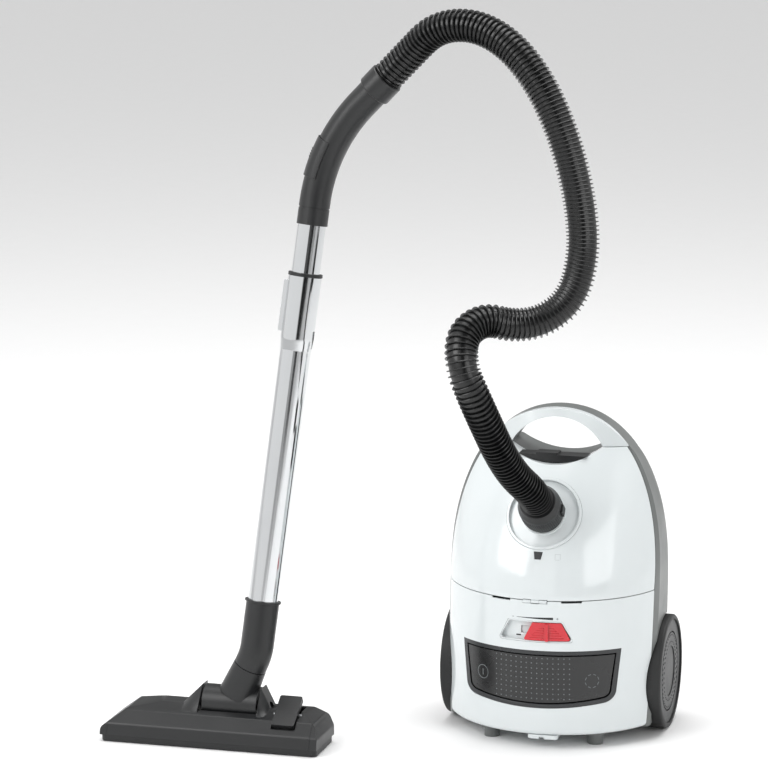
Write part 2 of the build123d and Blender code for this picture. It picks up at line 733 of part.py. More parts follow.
with BuildPart() as wheel_axles:
    for side in (-1, 1):
        start = Vector(side * (arch_wall - wall), wheel_y, wheel_diameter / 2)
        add(rod(start, (side, 0, 0), wall + arch_gap + 14, axle_diameter / 2))
save(wheel_axles, "wheel_axles")

roller_radius = 13.0
roller_y = wheel_y + wheel_diameter / 2 - roller_radius
trail = 6.0
with BuildPart() as caster_fork:
    add(rod((0, pocket_floor - caster_boss, caster_z), (0, 1, 0), caster_boss + 4, caster_stem))
    add(rod((0, pocket_floor + 1, caster_z), (0, 1, 0), 5, 17))
    for side in (-1, 1):
        near, far = sorted((side * 6.4, side * 9.4))
        add(block((near, pocket_floor + 4, caster_z - trail - 6), (far, roller_y + 5, caster_z - trail + 6)))
    add(rod((-20, roller_y, caster_z - trail), (1, 0, 0), 40, 1.6), mode=Mode.SUBTRACT)
save(caster_fork, "caster_fork")

with BuildPart() as caster_pin:
    add(rod((-9.4, roller_y, caster_z - trail), (1, 0, 0), 18.8, 1.6))
save(caster_pin, "caster_pin")

with BuildPart() as caster_roller:
    add(rod((-5.8, roller_y, caster_z - trail), (1, 0, 0), 11.6, roller_radius, 1.6 + running_fit))
    fillet(caster_roller.edges().filter_by(GeomType.CIRCLE).group_by(SortBy.RADIUS)[-1], radius=1.5)
save(caster_roller, "caster_roller")

with BuildPart() as shell_screws:
    for x, z in screw_spots:
        add(rod((x, screw_seat, z), (0, -1, 0), screw_length, screw_shank))
        add(rod((x, screw_seat, z), (0, 1, 0), 2.4, screw_head))
save(shell_screws, "shell_screws")

# ---------------------------------------------------------------- grip and wand
wand_axis = unit(0.0973, 0.1379, 0.9856)
neck_axis = unit(math.sin(math.radians(24)), 0, math.cos(math.radians(24)))
barrel_x = -349.0
barrel_centre = Vector(barrel_x, pivot_y, pivot_height)
elbow_length = 50.0
neck_straight = 8.0
neck_bend = 60.0
neck_length = 52.0
elbow_end = barrel_centre + neck_axis * elbow_length
turn = math.radians(neck_axis.get_angle(wand_axis))
tangent = neck_bend * math.tan(turn / 2)
neck_knee = elbow_end + neck_axis * (neck_straight + tangent)
neck_top = neck_knee + wand_axis * (tangent + neck_length)

visible_outer = 384.0        # outer tube from the neck to the lock sleeve's top
visible_inner = 56.0
tube_seat = 34.0             # depth of the outer tube in the neck
grip_seat = 22.0             # depth of the upper tube in the grip
lock_length = 90.0
lock_top = neck_top + wand_axis * visible_outer
grip_base = lock_top + wand_axis * visible_inner
grip_straight = 24.0
grip_bend = 190.0
grip_turn = 39.5
grip_tail = 21.0
collar_length = 24.0
grip_radius = 18.0
grip_wall = 2.4
exit_hint = unit(0.694, -0.03, 0.719)
across = (exit_hint - wand_axis * exit_hint.dot(wand_axis)).normalized()
grip_end_axis = (wand_axis * math.cos(math.radians(grip_turn))
                 + across * math.sin(math.radians(grip_turn)))
bend_tangent = grip_bend * math.tan(math.radians(grip_turn / 2))
grip_knee = grip_base + wand_axis * (grip_straight + bend_tangent)
grip_end = grip_knee + grip_end_axis * (bend_tangent + grip_tail)
hose_start = grip_end + grip_end_axis * collar_length
bend_normal = wand_axis.cross(across)
bend_start = grip_base + wand_axis * grip_straight
bend_centre = bend_start + across * grip_bend


def elbow_path(start, knee, end, radius):
    """Straight, tangent arc, straight."""
    with BuildLine() as path:
        FilletPolyline(start, knee, end, radius=radius)
    return path.line


def bent_tube(path, radius, bore):
    """Round tube swept along a path."""
    with BuildPart() as tube:
        with BuildSketch(Plane(origin=path @ 0, z_dir=path % 0)):
            Circle(radius)
            Circle(bore, mode=Mode.SUBTRACT)
        sweep(path=path)
    return tube.part


# grip: a bent tube with a socket for the upper tube and a spigot for the collar
relief_start, relief_span = 9.0, 13.5    # degrees along the bend
relief_turn, relief_arc = 4.0, 98.0      # degrees round the tube
with BuildPart() as handle_grip:
    add(bent_tube(elbow_path(grip_base, grip_knee, grip_end, grip_bend),
                  grip_radius, grip_radius - grip_wall))
    seat_radius = inner_tube_diameter / 2 + 0.02
    add(rod(grip_base - wand_axis, wand_axis, grip_seat + 1.1, seat_radius), mode=Mode.SUBTRACT)
    add(rod(grip_end - grip_end_axis * 4, grip_end_axis, collar_length - 6,
            grip_radius - 3.4, grip_radius - 5.6))
    add(rod(grip_end - grip_end_axis * 4, grip_end_axis, 4, grip_radius - 0.02, grip_radius - 5.6))
    add(rod(grip_base + wand_axis * 19, wand_axis, 1.6, grip_radius + 1, grip_radius - 0.8),
        mode=Mode.SUBTRACT)
    for angle in (relief_start + 2.5, relief_start + 5.5):
        swing = math.radians(angle)
        out = wand_axis * math.sin(swing) - across * math.cos(swing)
        centre = bend_centre + out * grip_bend
        aim = (out - bend_normal).normalized()
        add(rod(centre + aim * 8, aim, 14, 2.5), mode=Mode.SUBTRACT)
save(handle_grip, "handle_grip")

# air-relief cover: a saddle that slides along the outside of the bend
with BuildPart() as air_slider:
    ring_plane = Plane(origin=bend_start, x_dir=-across, z_dir=wand_axis)
    with BuildSketch(ring_plane):
        with BuildLine():
            inside, outside = grip_radius + 0.12, grip_radius + 1.7
            CenterArc((0, 0), inside, relief_turn, relief_arc)
            CenterArc((0, 0), outside, relief_turn, relief_arc)
            for end in (relief_turn, relief_turn + relief_arc):
                spoke = Vector(math.cos(math.radians(end)), math.sin(math.radians(end)))
                Line(spoke * inside, spoke * outside)
        make_face()
    revolve(axis=Axis(bend_centre, bend_normal), revolution_arc=relief_span)
slide = air_slider.part.rotate(Axis(bend_centre, bend_normal), relief_start)
with BuildPart() as air_slider:
    add(slide)
save(air_slider, "air_slider")

# swivel collar and hose
with BuildPart() as swivel_collar:
    add(rod(grip_end + grip_end_axis * 0.4, grip_end_axis, collar_length - 0.4,
            20.5, hose_diameter / 2 - 5.0))
    add(rod(grip_end + grip_end_axis * 0.3, grip_end_axis, collar_length - 8,
            grip_radius - 3.4 + running_fit),
        mode=Mode.SUBTRACT)
    edges = swivel_collar.edges().filter_by(GeomType.CIRCLE).group_by(SortBy.RADIUS)[-1]
    fillet(edges, radius=1.6)
save(swivel_collar, "swivel_collar")

cuff_end = inlet_point(cuff_length)
hose_route = [
    hose_start, hose_start + grip_end_axis * 38, (-125, -92, 834), (-78, -102, 840), (-33, -114, 820),
    (4, -126, 780), (30, -136, 733), (47, -143, 687), (59, -149, 638), (63, -155, 591),
    (53, -163, 543), (23, -176, 517), (-10, -191, 513), (-38, -206, 523), (-58, -232, 508),
    (-53, -250, 474), (-40, -244, 440), (-30, -225, 405), (-22, -190, 364), (-13, -159, 334),
    inlet_point(cuff_length + 30), cuff_end,
]


def route_radii(points):
    """Largest arc that each corner's two runs allow."""
    spots = [Vector(*p) for p in points]
    radii = []
    for before, here, after in zip(spots, spots[1:], spots[2:]):
        come, go = here - before, after - here
        shorter = min(come.length, go.length)
        radii.append(0.45 * shorter / math.tan(math.radians(come.get_angle(go)) / 2))
    return radii


hose_radii = route_radii(hose_route)
with BuildLine() as hose_line:
    FilletPolyline(*hose_route, radius=hose_radii)
hose_path = hose_line.wire()
with BuildPart() as hose:
    add(bent_tube(hose_path, hose_diameter / 2, hose_bore / 2))
save(hose, "hose")
ring_area = math.pi * (hose_diameter ** 2 - hose_bore ** 2) / 4
print("hose radii", [round(r) for r in hose_radii])
print("hose length", round(hose_path.length), "volume over section times length",
      round(hose.part.volume / (ring_area * hose_path.length), 4))

with BuildPart() as hose_cuff:
    with BuildSketch(Plane(origin=inlet_point(-socket_depth + 1), z_dir=inlet_axis)):
        Circle(socket_radius - running_fit)
    extrude(amount=socket_depth + 1)
    with BuildSketch(Plane(origin=inlet_point(2), z_dir=inlet_axis)):
        Circle(cuff_diameter / 2)
    extrude(amount=cuff_length - 12)
    with BuildSketch(Plane(origin=inlet_point(cuff_length - 10), z_dir=inlet_axis)):
        Circle(cuff_diameter / 2)
    with BuildSketch(Plane(origin=inlet_point(cuff_length), z_dir=inlet_axis)):
        Circle(hose_diameter / 2 + 2)
    loft()
    add(rod(inlet_point(-socket_depth), inlet_axis, 90, hose_bore / 2), mode=Mode.SUBTRACT)
    side = Plane(origin=inlet_point(12), x_dir=(1, 0, 0), z_dir=inlet_axis)
    pocket = side * Pos(cuff_diameter / 2, 0, 0) * Box(7, 11, 15, mode=Mode.PRIVATE)
    add(pocket, mode=Mode.SUBTRACT)
save(hose_cuff, "hose_cuff")

with BuildPart() as cuff_button:
    add(side * Pos(cuff_diameter / 2 + 0.1, 0, 0) * Box(3.6, 10.2, 14.2, mode=Mode.PRIVATE))
save(cuff_button, "cuff_button")

# ---------------------------------------------------------------- telescopic wand
inner_low = grip_base - wand_axis * (inner_tube_length - grip_seat)
outer_low = neck_top - wand_axis * tube_seat
outer_length = (lock_top - outer_low).length - 4
sleeve_radius = tube_diameter / 2 + 1.4
with BuildPart() as upper_tube:
    add(rod(inner_low, wand_axis, inner_tube_length, inner_tube_diameter / 2, inner_tube_diameter / 2 - 1.0))
save(upper_tube, "upper_tube")

lower_bore = inner_tube_diameter / 2 + running_fit
with BuildPart() as lower_tube:
    add(rod(outer_low, wand_axis, outer_length, tube_diameter / 2, lower_bore))
save(lower_tube, "lower_tube")

# local frame of the lock: x to the left of the wand, where its button is
lock_left = (unit(-1, 0, 0) - wand_axis * unit(-1, 0, 0).dot(wand_axis)).normalized()
lock_plane = Plane(origin=lock_top - wand_axis * lock_length, x_dir=lock_left, z_dir=wand_axis)
with BuildPart() as lock_sleeve:
    add(rod(lock_top - wand_axis * (lock_length - 14), wand_axis, lock_length - 18, sleeve_radius,
            tube_diameter / 2 + 0.02))
    with BuildSketch(Plane(origin=lock_top - wand_axis * lock_length, z_dir=wand_axis)):
        Circle(tube_diameter / 2 + 0.3)
    with BuildSketch(Plane(origin=lock_top - wand_axis * (lock_length - 14), z_dir=wand_axis)):
        Circle(sleeve_radius)
    loft()
    add(rod(lock_top - wand_axis * (lock_length + 1), wand_axis, 20, tube_diameter / 2 + 0.02),
        mode=Mode.SUBTRACT)
    slot = lock_plane * Pos(sleeve_radius, 0, 46) * Box(6, 13, 72, mode=Mode.PRIVATE)
    add(slot, mode=Mode.SUBTRACT)
    notch = lock_plane * Pos(-sleeve_radius, 0, 14) * Box(4, 9, 20, mode=Mode.PRIVATE)
    add(notch, mode=Mode.SUBTRACT)
save(lock_sleeve, "lock_sleeve")

with BuildPart() as lock_slide:
    add(lock_plane * Pos(tube_diameter / 2 + 2.9, 0, 50) * Box(5.4, 12.2, 60, mode=Mode.PRIVATE))
    outer_edges = lock_slide.edges().sort_by(Axis((0, 0, 0), lock_left))[-4:]
    fillet(outer_edges, radius=2.0)
save(lock_slide, "lock_slide")

with BuildPart() as sleeve_ring:
    add(rod(lock_top - wand_axis * 4, wand_axis, 4, sleeve_radius + 0.8, lower_bore))
save(sleeve_ring, "sleeve_ring")

# ---------------------------------------------------------------- neck and elbow
neck_radius = 19.4
neck_bore = tube_diameter / 2 + 0.02
spigot_radius = 16.4
with BuildPart() as neck_tube:
    flange_low = neck_top - wand_axis * 2.4
    add(bent_tube(elbow_path(elbow_end + neck_axis * 0.4, neck_knee, flange_low, neck_bend),
                  neck_radius, spigot_radius - 2.4))
    add(rod(flange_low, wand_axis, 2.4, neck_radius + 1.9, neck_bore))
    add(rod(neck_top - wand_axis * (tube_seat + 0.1), wand_axis, tube_seat + 1, neck_bore),
        mode=Mode.SUBTRACT)
    add(rod(elbow_end - neck_axis * 8, neck_axis, 14, spigot_radius, spigot_radius - 2.4))
save(neck_tube, "neck_tube")

barrel_half = 33.0
with BuildPart() as head_elbow:
    with BuildSketch(Plane(origin=barrel_centre + neck_axis * 12, z_dir=neck_axis)):
        Circle(22.6)
    with BuildSketch(Plane(origin=elbow_end, z_dir=neck_axis)):
        Circle(neck_radius + 0.3)
    loft()
    add(rod((barrel_x - barrel_half, pivot_y, pivot_height), (1, 0, 0), 2 * barrel_half, pivot_radius))
    add(rod((barrel_x - 26, pivot_y, pivot_height), (1, 0, 0), 52, pivot_radius - 3), mode=Mode.SUBTRACT)
    add(rod(barrel_centre, neck_axis, 80, spigot_radius + running_fit), mode=Mode.SUBTRACT)
    add(rod((barrel_x - 40, pivot_y, pivot_height), (1, 0, 0), 80, 5 + running_fit), mode=Mode.SUBTRACT)
save(head_elbow, "head_elbow")

# ---------------------------------------------------------------- floor head
head_left, head_right = head_x - head_length / 2, head_x + head_length / 2
head_back = head_front + head_depth
sole_thickness = 7.0
sole_gap = 1.0
cover_low = sole_gap + sole_thickness + 0.3
cap_width = 9.0


def head_profile(x, inset=0.0):
    """Cross-section of the floor head: steep nose, flat crown, short tail."""
    with BuildSketch(Plane(origin=(x, 0, 0), x_dir=(0, 1, 0), z_dir=(1, 0, 0))) as profile:
        with BuildLine():
            nose, tail, crown = head_front + inset, head_back - inset, head_top - inset
            Polyline((nose, cover_low), (nose + 2, 22 - inset), (nose + 16, 36 - inset), (nose + 38, crown),
                     (tail - 8, crown), (tail, 30 - inset), (tail, cover_low), close=True)
        make_face()
        fillet(profile.vertices().filter_by_position(Axis.Y, 15, 60), radius=6)
    return profile.sketch


def head_outline(inset=0.0):
    """Front outline of the head: low left end, full height in the middle, sloped right end."""
    with BuildSketch(face_plane(head_front - 10)) as outline:
        with BuildLine():
            left, right, crown = head_left + inset, head_right - inset, head_top + 4 - inset
            Polyline((left, 0), (left, 17 - inset), (left + 28, 38 - inset), (left + 96, crown),
                     (right - 30, crown), (right - 6, 34 - inset), (right, 20 - inset), (right, 0),
                     close=True)
        make_face()
        fillet(outline.vertices().filter_by_position(Axis.Y, 15, 60), radius=8)
    with BuildPart() as solid:
        extrude(outline.sketch, amount=-head_depth - 20)
    return solid.part


def head_solid(low_x, high_x, inset=0.0):
    """Part of the head's outer form between two stations."""
    with BuildPart() as solid:
        extrude(head_profile(low_x, inset), amount=high_x - low_x)
        add(head_outline(inset), mode=Mode.INTERSECT)
    return solid.part


wing_top = 66.0


def wing_section(x, high):
    """Side view of one wing that cradles the swivel barrel."""
    with BuildSketch(Plane(origin=(x, 0, 0), x_dir=(0, 1, 0), z_dir=(1, 0, 0))) as section:
        with BuildLine():
            Polyline((head_front + 20, cover_low + 4), (head_front + 20, min(high, 37)), (pivot_y - 8, high),
                     (pivot_y + 12, high), (head_back - 2, 30), (head_back - 2, cover_low + 4), close=True)
        make_face()
    return section.sketch


def wing(near, far):
    """Raised wing beside the barrel, full height near it and level with the crown further out."""
    with BuildPart() as solid:
        loft([wing_section(near, wing_top), wing_section(far, head_top - 1)])
    return solid.part


recess_left, recess_right = barrel_x - barrel_half - 3.0, barrel_x + barrel_half + 3.0
pedal_x = -277.0
pedal_half = 13.5
pin_reach = pedal_half + 3.2
rocker_pin = 1.8
rocker_axis_y, rocker_axis_z = -179.0, 40.0
head_roller_radius = 7.5
roller_pin = 1.5
roller_reach = 12.0
roller_spots = [head_x - 84, head_x + 84]
roller_back = head_back - 14
with BuildPart() as head_cover:
    add(head_solid(head_left + cap_width, head_right - cap_width))
    add(head_solid(head_left + cap_width + 2, head_right - cap_width - 2, 2.4)
        & block((head_left, head_front, 0), (head_right, head_back, head_top - 2.4)), mode=Mode.SUBTRACT)
    add(block((head_left, head_front + 2.4, 0), (head_right, head_back - 2.4, cover_low + 2)),
        mode=Mode.SUBTRACT)
    add(wing(recess_left, recess_left - 24))
    add(wing(recess_right, recess_right + 12))
    add(block((recess_left, pivot_y - 24, 0), (recess_right, head_back + 5, 80)), mode=Mode.SUBTRACT)
    add(rod((recess_left - 20, pivot_y, pivot_height), (1, 0, 0), 120, 5), mode=Mode.SUBTRACT)
    add(block((pedal_x - pedal_half - 1, -206, 28), (pedal_x + pedal_half + 1, -152, 80)),
        mode=Mode.SUBTRACT)
    add(rod((pedal_x - pin_reach, rocker_axis_y, rocker_axis_z), (1, 0, 0), 2 * pin_reach, rocker_pin),
        mode=Mode.SUBTRACT)
save(head_cover, "head_cover")

with BuildPart() as end_caps:
    add(head_solid(head_left, head_left + cap_width - 0.3))
    add(head_solid(head_right - cap_width + 0.3, head_right))
save(end_caps, "end_caps")

mouth_half = 96.0
with BuildPart() as sole_plate:
    add(block((head_left + 1, head_front + 1, sole_gap),
              (head_right - 1, head_back - 1, sole_gap + sole_thickness)))
    fillet(sole_plate.edges().filter_by(Axis.Z), radius=6)
    add(block((head_x - mouth_half, -186, 0), (head_x + mouth_half, -170, 20)), mode=Mode.SUBTRACT)
    add(block((head_x - mouth_half - 8, -199, 0), (head_x + mouth_half + 8, -191, 20)), mode=Mode.SUBTRACT)
    for x in roller_spots:
        add(block((x - 9, head_back - 22, 0), (x + 9, head_back - 6, 20)), mode=Mode.SUBTRACT)
        add(rod((x - roller_reach, roller_back, head_roller_radius), (1, 0, 0), 2 * roller_reach,
                roller_pin),
            mode=Mode.SUBTRACT)
save(sole_plate, "sole_plate")

with BuildPart() as brush_carrier:
    add(block((head_x - mouth_half - 7, -198.4, 8.6), (head_x + mouth_half + 7, -191.6, 14)))
    for x in (head_x - 90, head_x + 90):
        add(block((x - 4, -197, 14), (x + 4, -193, 22)))
save(brush_carrier, "brush_carrier")

with BuildPart() as bristle_strip:
    add(block((head_x - mouth_half - 5, -197, 0.3), (head_x + mouth_half + 5, -193, 8.6)))
save(bristle_strip, "bristle_strip")

rocker_tilt = 33.0
rocker_plane = Plane(origin=(pedal_x, rocker_axis_y, rocker_axis_z), x_dir=(1, 0, 0),
                     z_dir=(0, -math.sin(math.radians(rocker_tilt)), math.cos(math.radians(rocker_tilt))))
with BuildPart() as rocker_pedal:
    add(rocker_plane * Pos(0, 0, 4.5) * Box(2 * pedal_half, 46, 6.5, mode=Mode.PRIVATE))
    corners = rocker_pedal.edges().filter_by(Axis((0, 0, 0), rocker_plane.z_dir))
    fillet(corners, radius=2.5)
    add(rod((pedal_x - 8, rocker_axis_y, rocker_axis_z), (1, 0, 0), 16, 4))
    add(rod((pedal_x - 20, rocker_axis_y, rocker_axis_z), (1, 0, 0), 40, rocker_pin + running_fit),
        mode=Mode.SUBTRACT)
save(rocker_pedal, "rocker_pedal")

with BuildPart() as head_rollers:
    for x in roller_spots:
        add(rod((x - 7, roller_back, head_roller_radius), (1, 0, 0), 14, head_roller_radius,
                roller_pin + running_fit))
save(head_rollers, "head_rollers")

with BuildPart() as head_pins:
    for near, far in ((recess_left - 6, barrel_x - 27), (barrel_x + 27, recess_right + 6)):
        add(rod((near, pivot_y, pivot_height), (1, 0, 0), far - near, 5))
    add(rod((pedal_x - pin_reach, rocker_axis_y, rocker_axis_z), (1, 0, 0), 2 * pin_reach, rocker_pin))
    for x in roller_spots:
        add(rod((x - roller_reach, roller_back, head_roller_radius), (1, 0, 0), 2 * roller_reach,
                roller_pin))
save(head_pins, "head_pins")
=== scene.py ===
import json
import logging
import math
from dataclasses import dataclass, field
from enum import Enum
from typing import Callable, Iterable, Sequence

import bmesh
import bpy
from mathutils import Matrix, Vector
from mathutils.bvhtree import BVHTree


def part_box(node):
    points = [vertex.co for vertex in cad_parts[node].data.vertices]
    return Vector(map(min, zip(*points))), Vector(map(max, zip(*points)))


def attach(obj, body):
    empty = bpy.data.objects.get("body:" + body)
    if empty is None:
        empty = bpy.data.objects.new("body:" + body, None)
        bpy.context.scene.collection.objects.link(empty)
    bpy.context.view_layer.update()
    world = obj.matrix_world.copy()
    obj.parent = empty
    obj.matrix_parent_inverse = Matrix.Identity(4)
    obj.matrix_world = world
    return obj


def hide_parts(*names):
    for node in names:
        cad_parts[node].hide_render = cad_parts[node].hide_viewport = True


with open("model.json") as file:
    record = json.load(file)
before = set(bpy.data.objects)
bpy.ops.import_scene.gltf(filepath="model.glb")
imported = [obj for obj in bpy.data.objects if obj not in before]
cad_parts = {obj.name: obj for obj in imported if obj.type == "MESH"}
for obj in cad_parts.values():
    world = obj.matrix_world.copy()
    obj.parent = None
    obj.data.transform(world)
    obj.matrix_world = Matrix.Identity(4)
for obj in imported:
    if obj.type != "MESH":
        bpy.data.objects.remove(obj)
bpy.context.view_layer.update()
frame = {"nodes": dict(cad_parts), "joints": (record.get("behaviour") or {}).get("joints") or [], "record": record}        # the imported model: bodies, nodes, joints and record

LOG = logging.getLogger("vacuum")
MM = 0.001


# ---------------------------------------------------------------- small tools
def linear(code: str) -> tuple[float, float, float, float]:
    """Turns an sRGB hex code into linear colour.

    Args:
        code: six hex digits.

    Returns:
        Linear red, green, blue and an alpha of one.
    """
    parts = [int(code[i:i + 2], 16) / 255 for i in (0, 2, 4)]
    curve = [p / 12.92 if p <= 0.04045 else ((p + 0.055) / 1.055) ** 2.4 for p in parts]
    return (*curve, 1.0)


def add_node(tree: bpy.types.NodeTree, kind: str, links: dict | None = None, values: dict | None = None,
             **settings) -> bpy.types.Node:
    """Adds one node with its settings, values and incoming links.

    Args:
        tree: node tree that gets the node.
        kind: the node's type.
        links: input name or number to the socket that feeds it.
        values: input name or number to a constant.
        settings: properties of the node itself.

    Returns:
        The new node.
    """
    node = tree.nodes.new(kind)
    for key, value in settings.items():
        setattr(node, key, value)
    for key, value in (values or {}).items():
        node.inputs[key].default_value = value
    for key, socket in (links or {}).items():
        tree.links.new(socket, node.inputs[key])
    return node


# ---------------------------------------------------------------- finishes
class Pattern(Enum):
    """How a surface was made."""

    MOULDED = "moulded"
    BRUSHED = "brushed"
    WOVEN = "woven"
    FIBROUS = "fibrous"


@dataclass(frozen=True)
class Finish:
    """One real surface: what it is made of and how it was made."""

    name: str
    colour: str
    second: str
    roughness: float
    spread: float = 0.06
    metallic: float = 0.0
    ior: float = 1.5
    coat: float = 0.0
    grain: float = 0.6
    relief: float = 0.02
    pattern: Pattern = Pattern.MOULDED
    stretch: tuple[float, float, float] = (1.0, 1.0, 1.0)
    sheen: float = 0.0
    transmission: float = 0.0

    def make(self) -> bpy.types.Material:
        """Builds the node material, once.

        Returns:
            The material of this finish.
        """
        found = bpy.data.materials.get(self.name)
        if found:
            return found
        material = bpy.data.materials.new(self.name)
        material.use_nodes = True
        tree = material.node_tree
        tree.nodes.clear()
        place = add_node(tree, "ShaderNodeTexCoord").outputs["Object"]
        turned = add_node(tree, "ShaderNodeMapping", {"Vector": place}, {"Scale": self.stretch})
        height = self.height(tree, turned.outputs["Vector"])
        patch = add_node(tree, "ShaderNodeTexNoise", {"Vector": place}, {"Scale": 24.0, "Detail": 3.0})
        rough = add_node(tree, "ShaderNodeMapRange", {"Value": patch.outputs["Fac"]},
                         {"From Min": 0.3, "From Max": 0.7, "To Min": max(0.02, self.roughness - self.spread),
                          "To Max": self.roughness + self.spread})
        tint = add_node(tree, "ShaderNodeMix", {0: patch.outputs["Fac"]}, data_type="RGBA")
        tint.inputs[6].default_value = linear(self.colour)
        tint.inputs[7].default_value = linear(self.second)
        bump = add_node(tree, "ShaderNodeBump", {"Height": height},
                        {"Strength": 0.6, "Distance": self.relief * MM})
        shader = add_node(
            tree, "ShaderNodeBsdfPrincipled",
            {"Base Color": tint.outputs[2], "Roughness": rough.outputs["Result"],
             "Normal": bump.outputs["Normal"]},
            {"Metallic": self.metallic, "Coat Weight": self.coat, "Coat Roughness": 0.06,
             "Sheen Weight": self.sheen, "Transmission Weight": self.transmission})
        if not self.metallic:
            shader.inputs["IOR"].default_value = self.ior
        add_node(tree, "ShaderNodeOutputMaterial", {"Surface": shader.outputs["BSDF"]})
        return material

    def height(self, tree: bpy.types.NodeTree, place: bpy.types.NodeSocket) -> bpy.types.NodeSocket:
        """Relief of the surface, from its pattern and real grain size.

        Args:
            tree: the material's tree.
            place: coordinates in metres.

        Returns:
            The height socket.
        """
        scale = 1 / (self.grain * MM)
        if self.pattern is Pattern.WOVEN:
            across = add_node(tree, "ShaderNodeTexWave", {"Vector": place}, {"Scale": scale / 6.3},
                              bands_direction="X")
            along = add_node(tree, "ShaderNodeTexWave", {"Vector": place}, {"Scale": scale / 6.3},
                              bands_direction="Z")
            both = add_node(tree, "ShaderNodeMath", {0: across.outputs["Fac"], 1: along.outputs["Fac"]},
                            operation="MULTIPLY")
            return both.outputs[0]
        detail = 6.0 if self.pattern is Pattern.FIBROUS else 2.0
        noise = add_node(tree, "ShaderNodeTexNoise", {"Vector": place}, {"Scale": scale, "Detail": detail})
        return noise.outputs["Fac"]


# glossy injection-moulded ABS: a polished tool gives clear reflections with a very faint orange peel
WHITE_ABS = Finish("white_abs_gloss", "D3D8D9", "CFD5D6", 0.16, 0.03, coat=0.35, grain=9.0, relief=0.05,
                   ior=1.54)
# ABS from a spark-eroded tool: an even satin that only blurs the lights
GREY_ABS = Finish("grey_abs_satin", "666968", "5E6160", 0.36, 0.05, grain=0.5, relief=0.02, ior=1.54)
FRAME_ABS = Finish("dark_grey_abs", "26282A", "202224", 0.30, 0.05, grain=0.5, relief=0.015, ior=1.54)
PANEL_ABS = Finish("black_abs_satin", "0D0E0F", "121314", 0.27, 0.04, coat=0.15, grain=0.6, relief=0.01,
                   ior=1.54)
RED_ABS = Finish("red_abs_gloss", "CC0A22", "BE091E", 0.2, 0.03, coat=0.4, grain=6.0, relief=0.03, ior=1.54)
# polypropylene with a fine leather-like tool grain: soft broad highlights
CHARCOAL_PP = Finish("charcoal_polypropylene", "1C1D1E", "18191A", 0.36, 0.05, grain=0.35, relief=0.03,
                     ior=1.49)
WHEEL_PP = Finish("wheel_polypropylene", "222425", "1E2021", 0.42, 0.05, grain=0.4, relief=0.03, ior=1.49)
BLACK_PP = Finish("black_polypropylene", "111213", "161718", 0.42, 0.06, grain=0.4, relief=0.03, ior=1.49)
HOSE_EVA = Finish("hose_eva", "0A0B0B", "0E0F10", 0.3, 0.06, grain=0.8, relief=0.03, ior=1.48, coat=0.1)
# chromed steel tube: a mirror with the tube's faint drawing lines
CHROME = Finish("chromed_steel", "DADCDD", "D2D4D6", 0.09, 0.02, metallic=1.0, grain=0.6, relief=0.004,
                pattern=Pattern.BRUSHED, stretch=(1.0, 1.0, 0.03))
STEEL = Finish("bright_steel", "B4B6B8", "A6A8AA", 0.3, 0.06, metallic=1.0, grain=0.5, relief=0.01)
TYRE_TPE = Finish("tyre_elastomer", "161717", "1D1E1E", 0.55, 0.07, grain=0.7, relief=0.05, ior=1.5)
SEAL_RUBBER = Finish("seal_rubber", "2A2B2B", "222323", 0.6, 0.06, grain=0.6, relief=0.03)
SMOKED_PC = Finish("smoked_polycarbonate", "1A1C1E", "202224", 0.08, 0.02,
                   ior=1.58, coat=0.5, grain=4.0, relief=0.01)
PRINT_GREY = Finish("printed_grey_ink", "6E7375", "65696B", 0.5, 0.04, grain=0.3, relief=0.005)
PRINT_PALE = Finish("printed_pale_ink", "B9BEBF", "AEB4B5", 0.5, 0.04, grain=0.3, relief=0.005)
PRINT_BLACK = Finish("printed_black_ink", "17181A", "1E2022", 0.45, 0.04, grain=0.3, relief=0.005)
FILTER_CLOTH = Finish("filter_fleece", "E4E5E1", "D6D8D3", 0.9, 0.05, grain=0.9, relief=0.3, sheen=0.2,
                      pattern=Pattern.FIBROUS)
BAG_FLEECE = Finish("bag_fleece", "D9D4C6", "CBC5B5", 0.92, 0.04, grain=1.1, relief=0.35, sheen=0.3,
                    pattern=Pattern.WOVEN)
NYLON_GF = Finish("glass_filled_nylon", "4A4C4E", "424446", 0.5, 0.06, grain=0.5, relief=0.04)
BOARD_FR4 = Finish("epoxy_board", "14512B", "104524", 0.35, 0.05, grain=0.7, relief=0.02)
BRISTLE_PA = Finish("nylon_bristle", "202122", "2A2B2C", 0.5, 0.05, grain=0.5, relief=0.02)
FLOOR_PAINT = Finish("studio_floor", "F4F4F4", "F2F2F2", 0.75, 0.05, grain=8.0, relief=0.02)

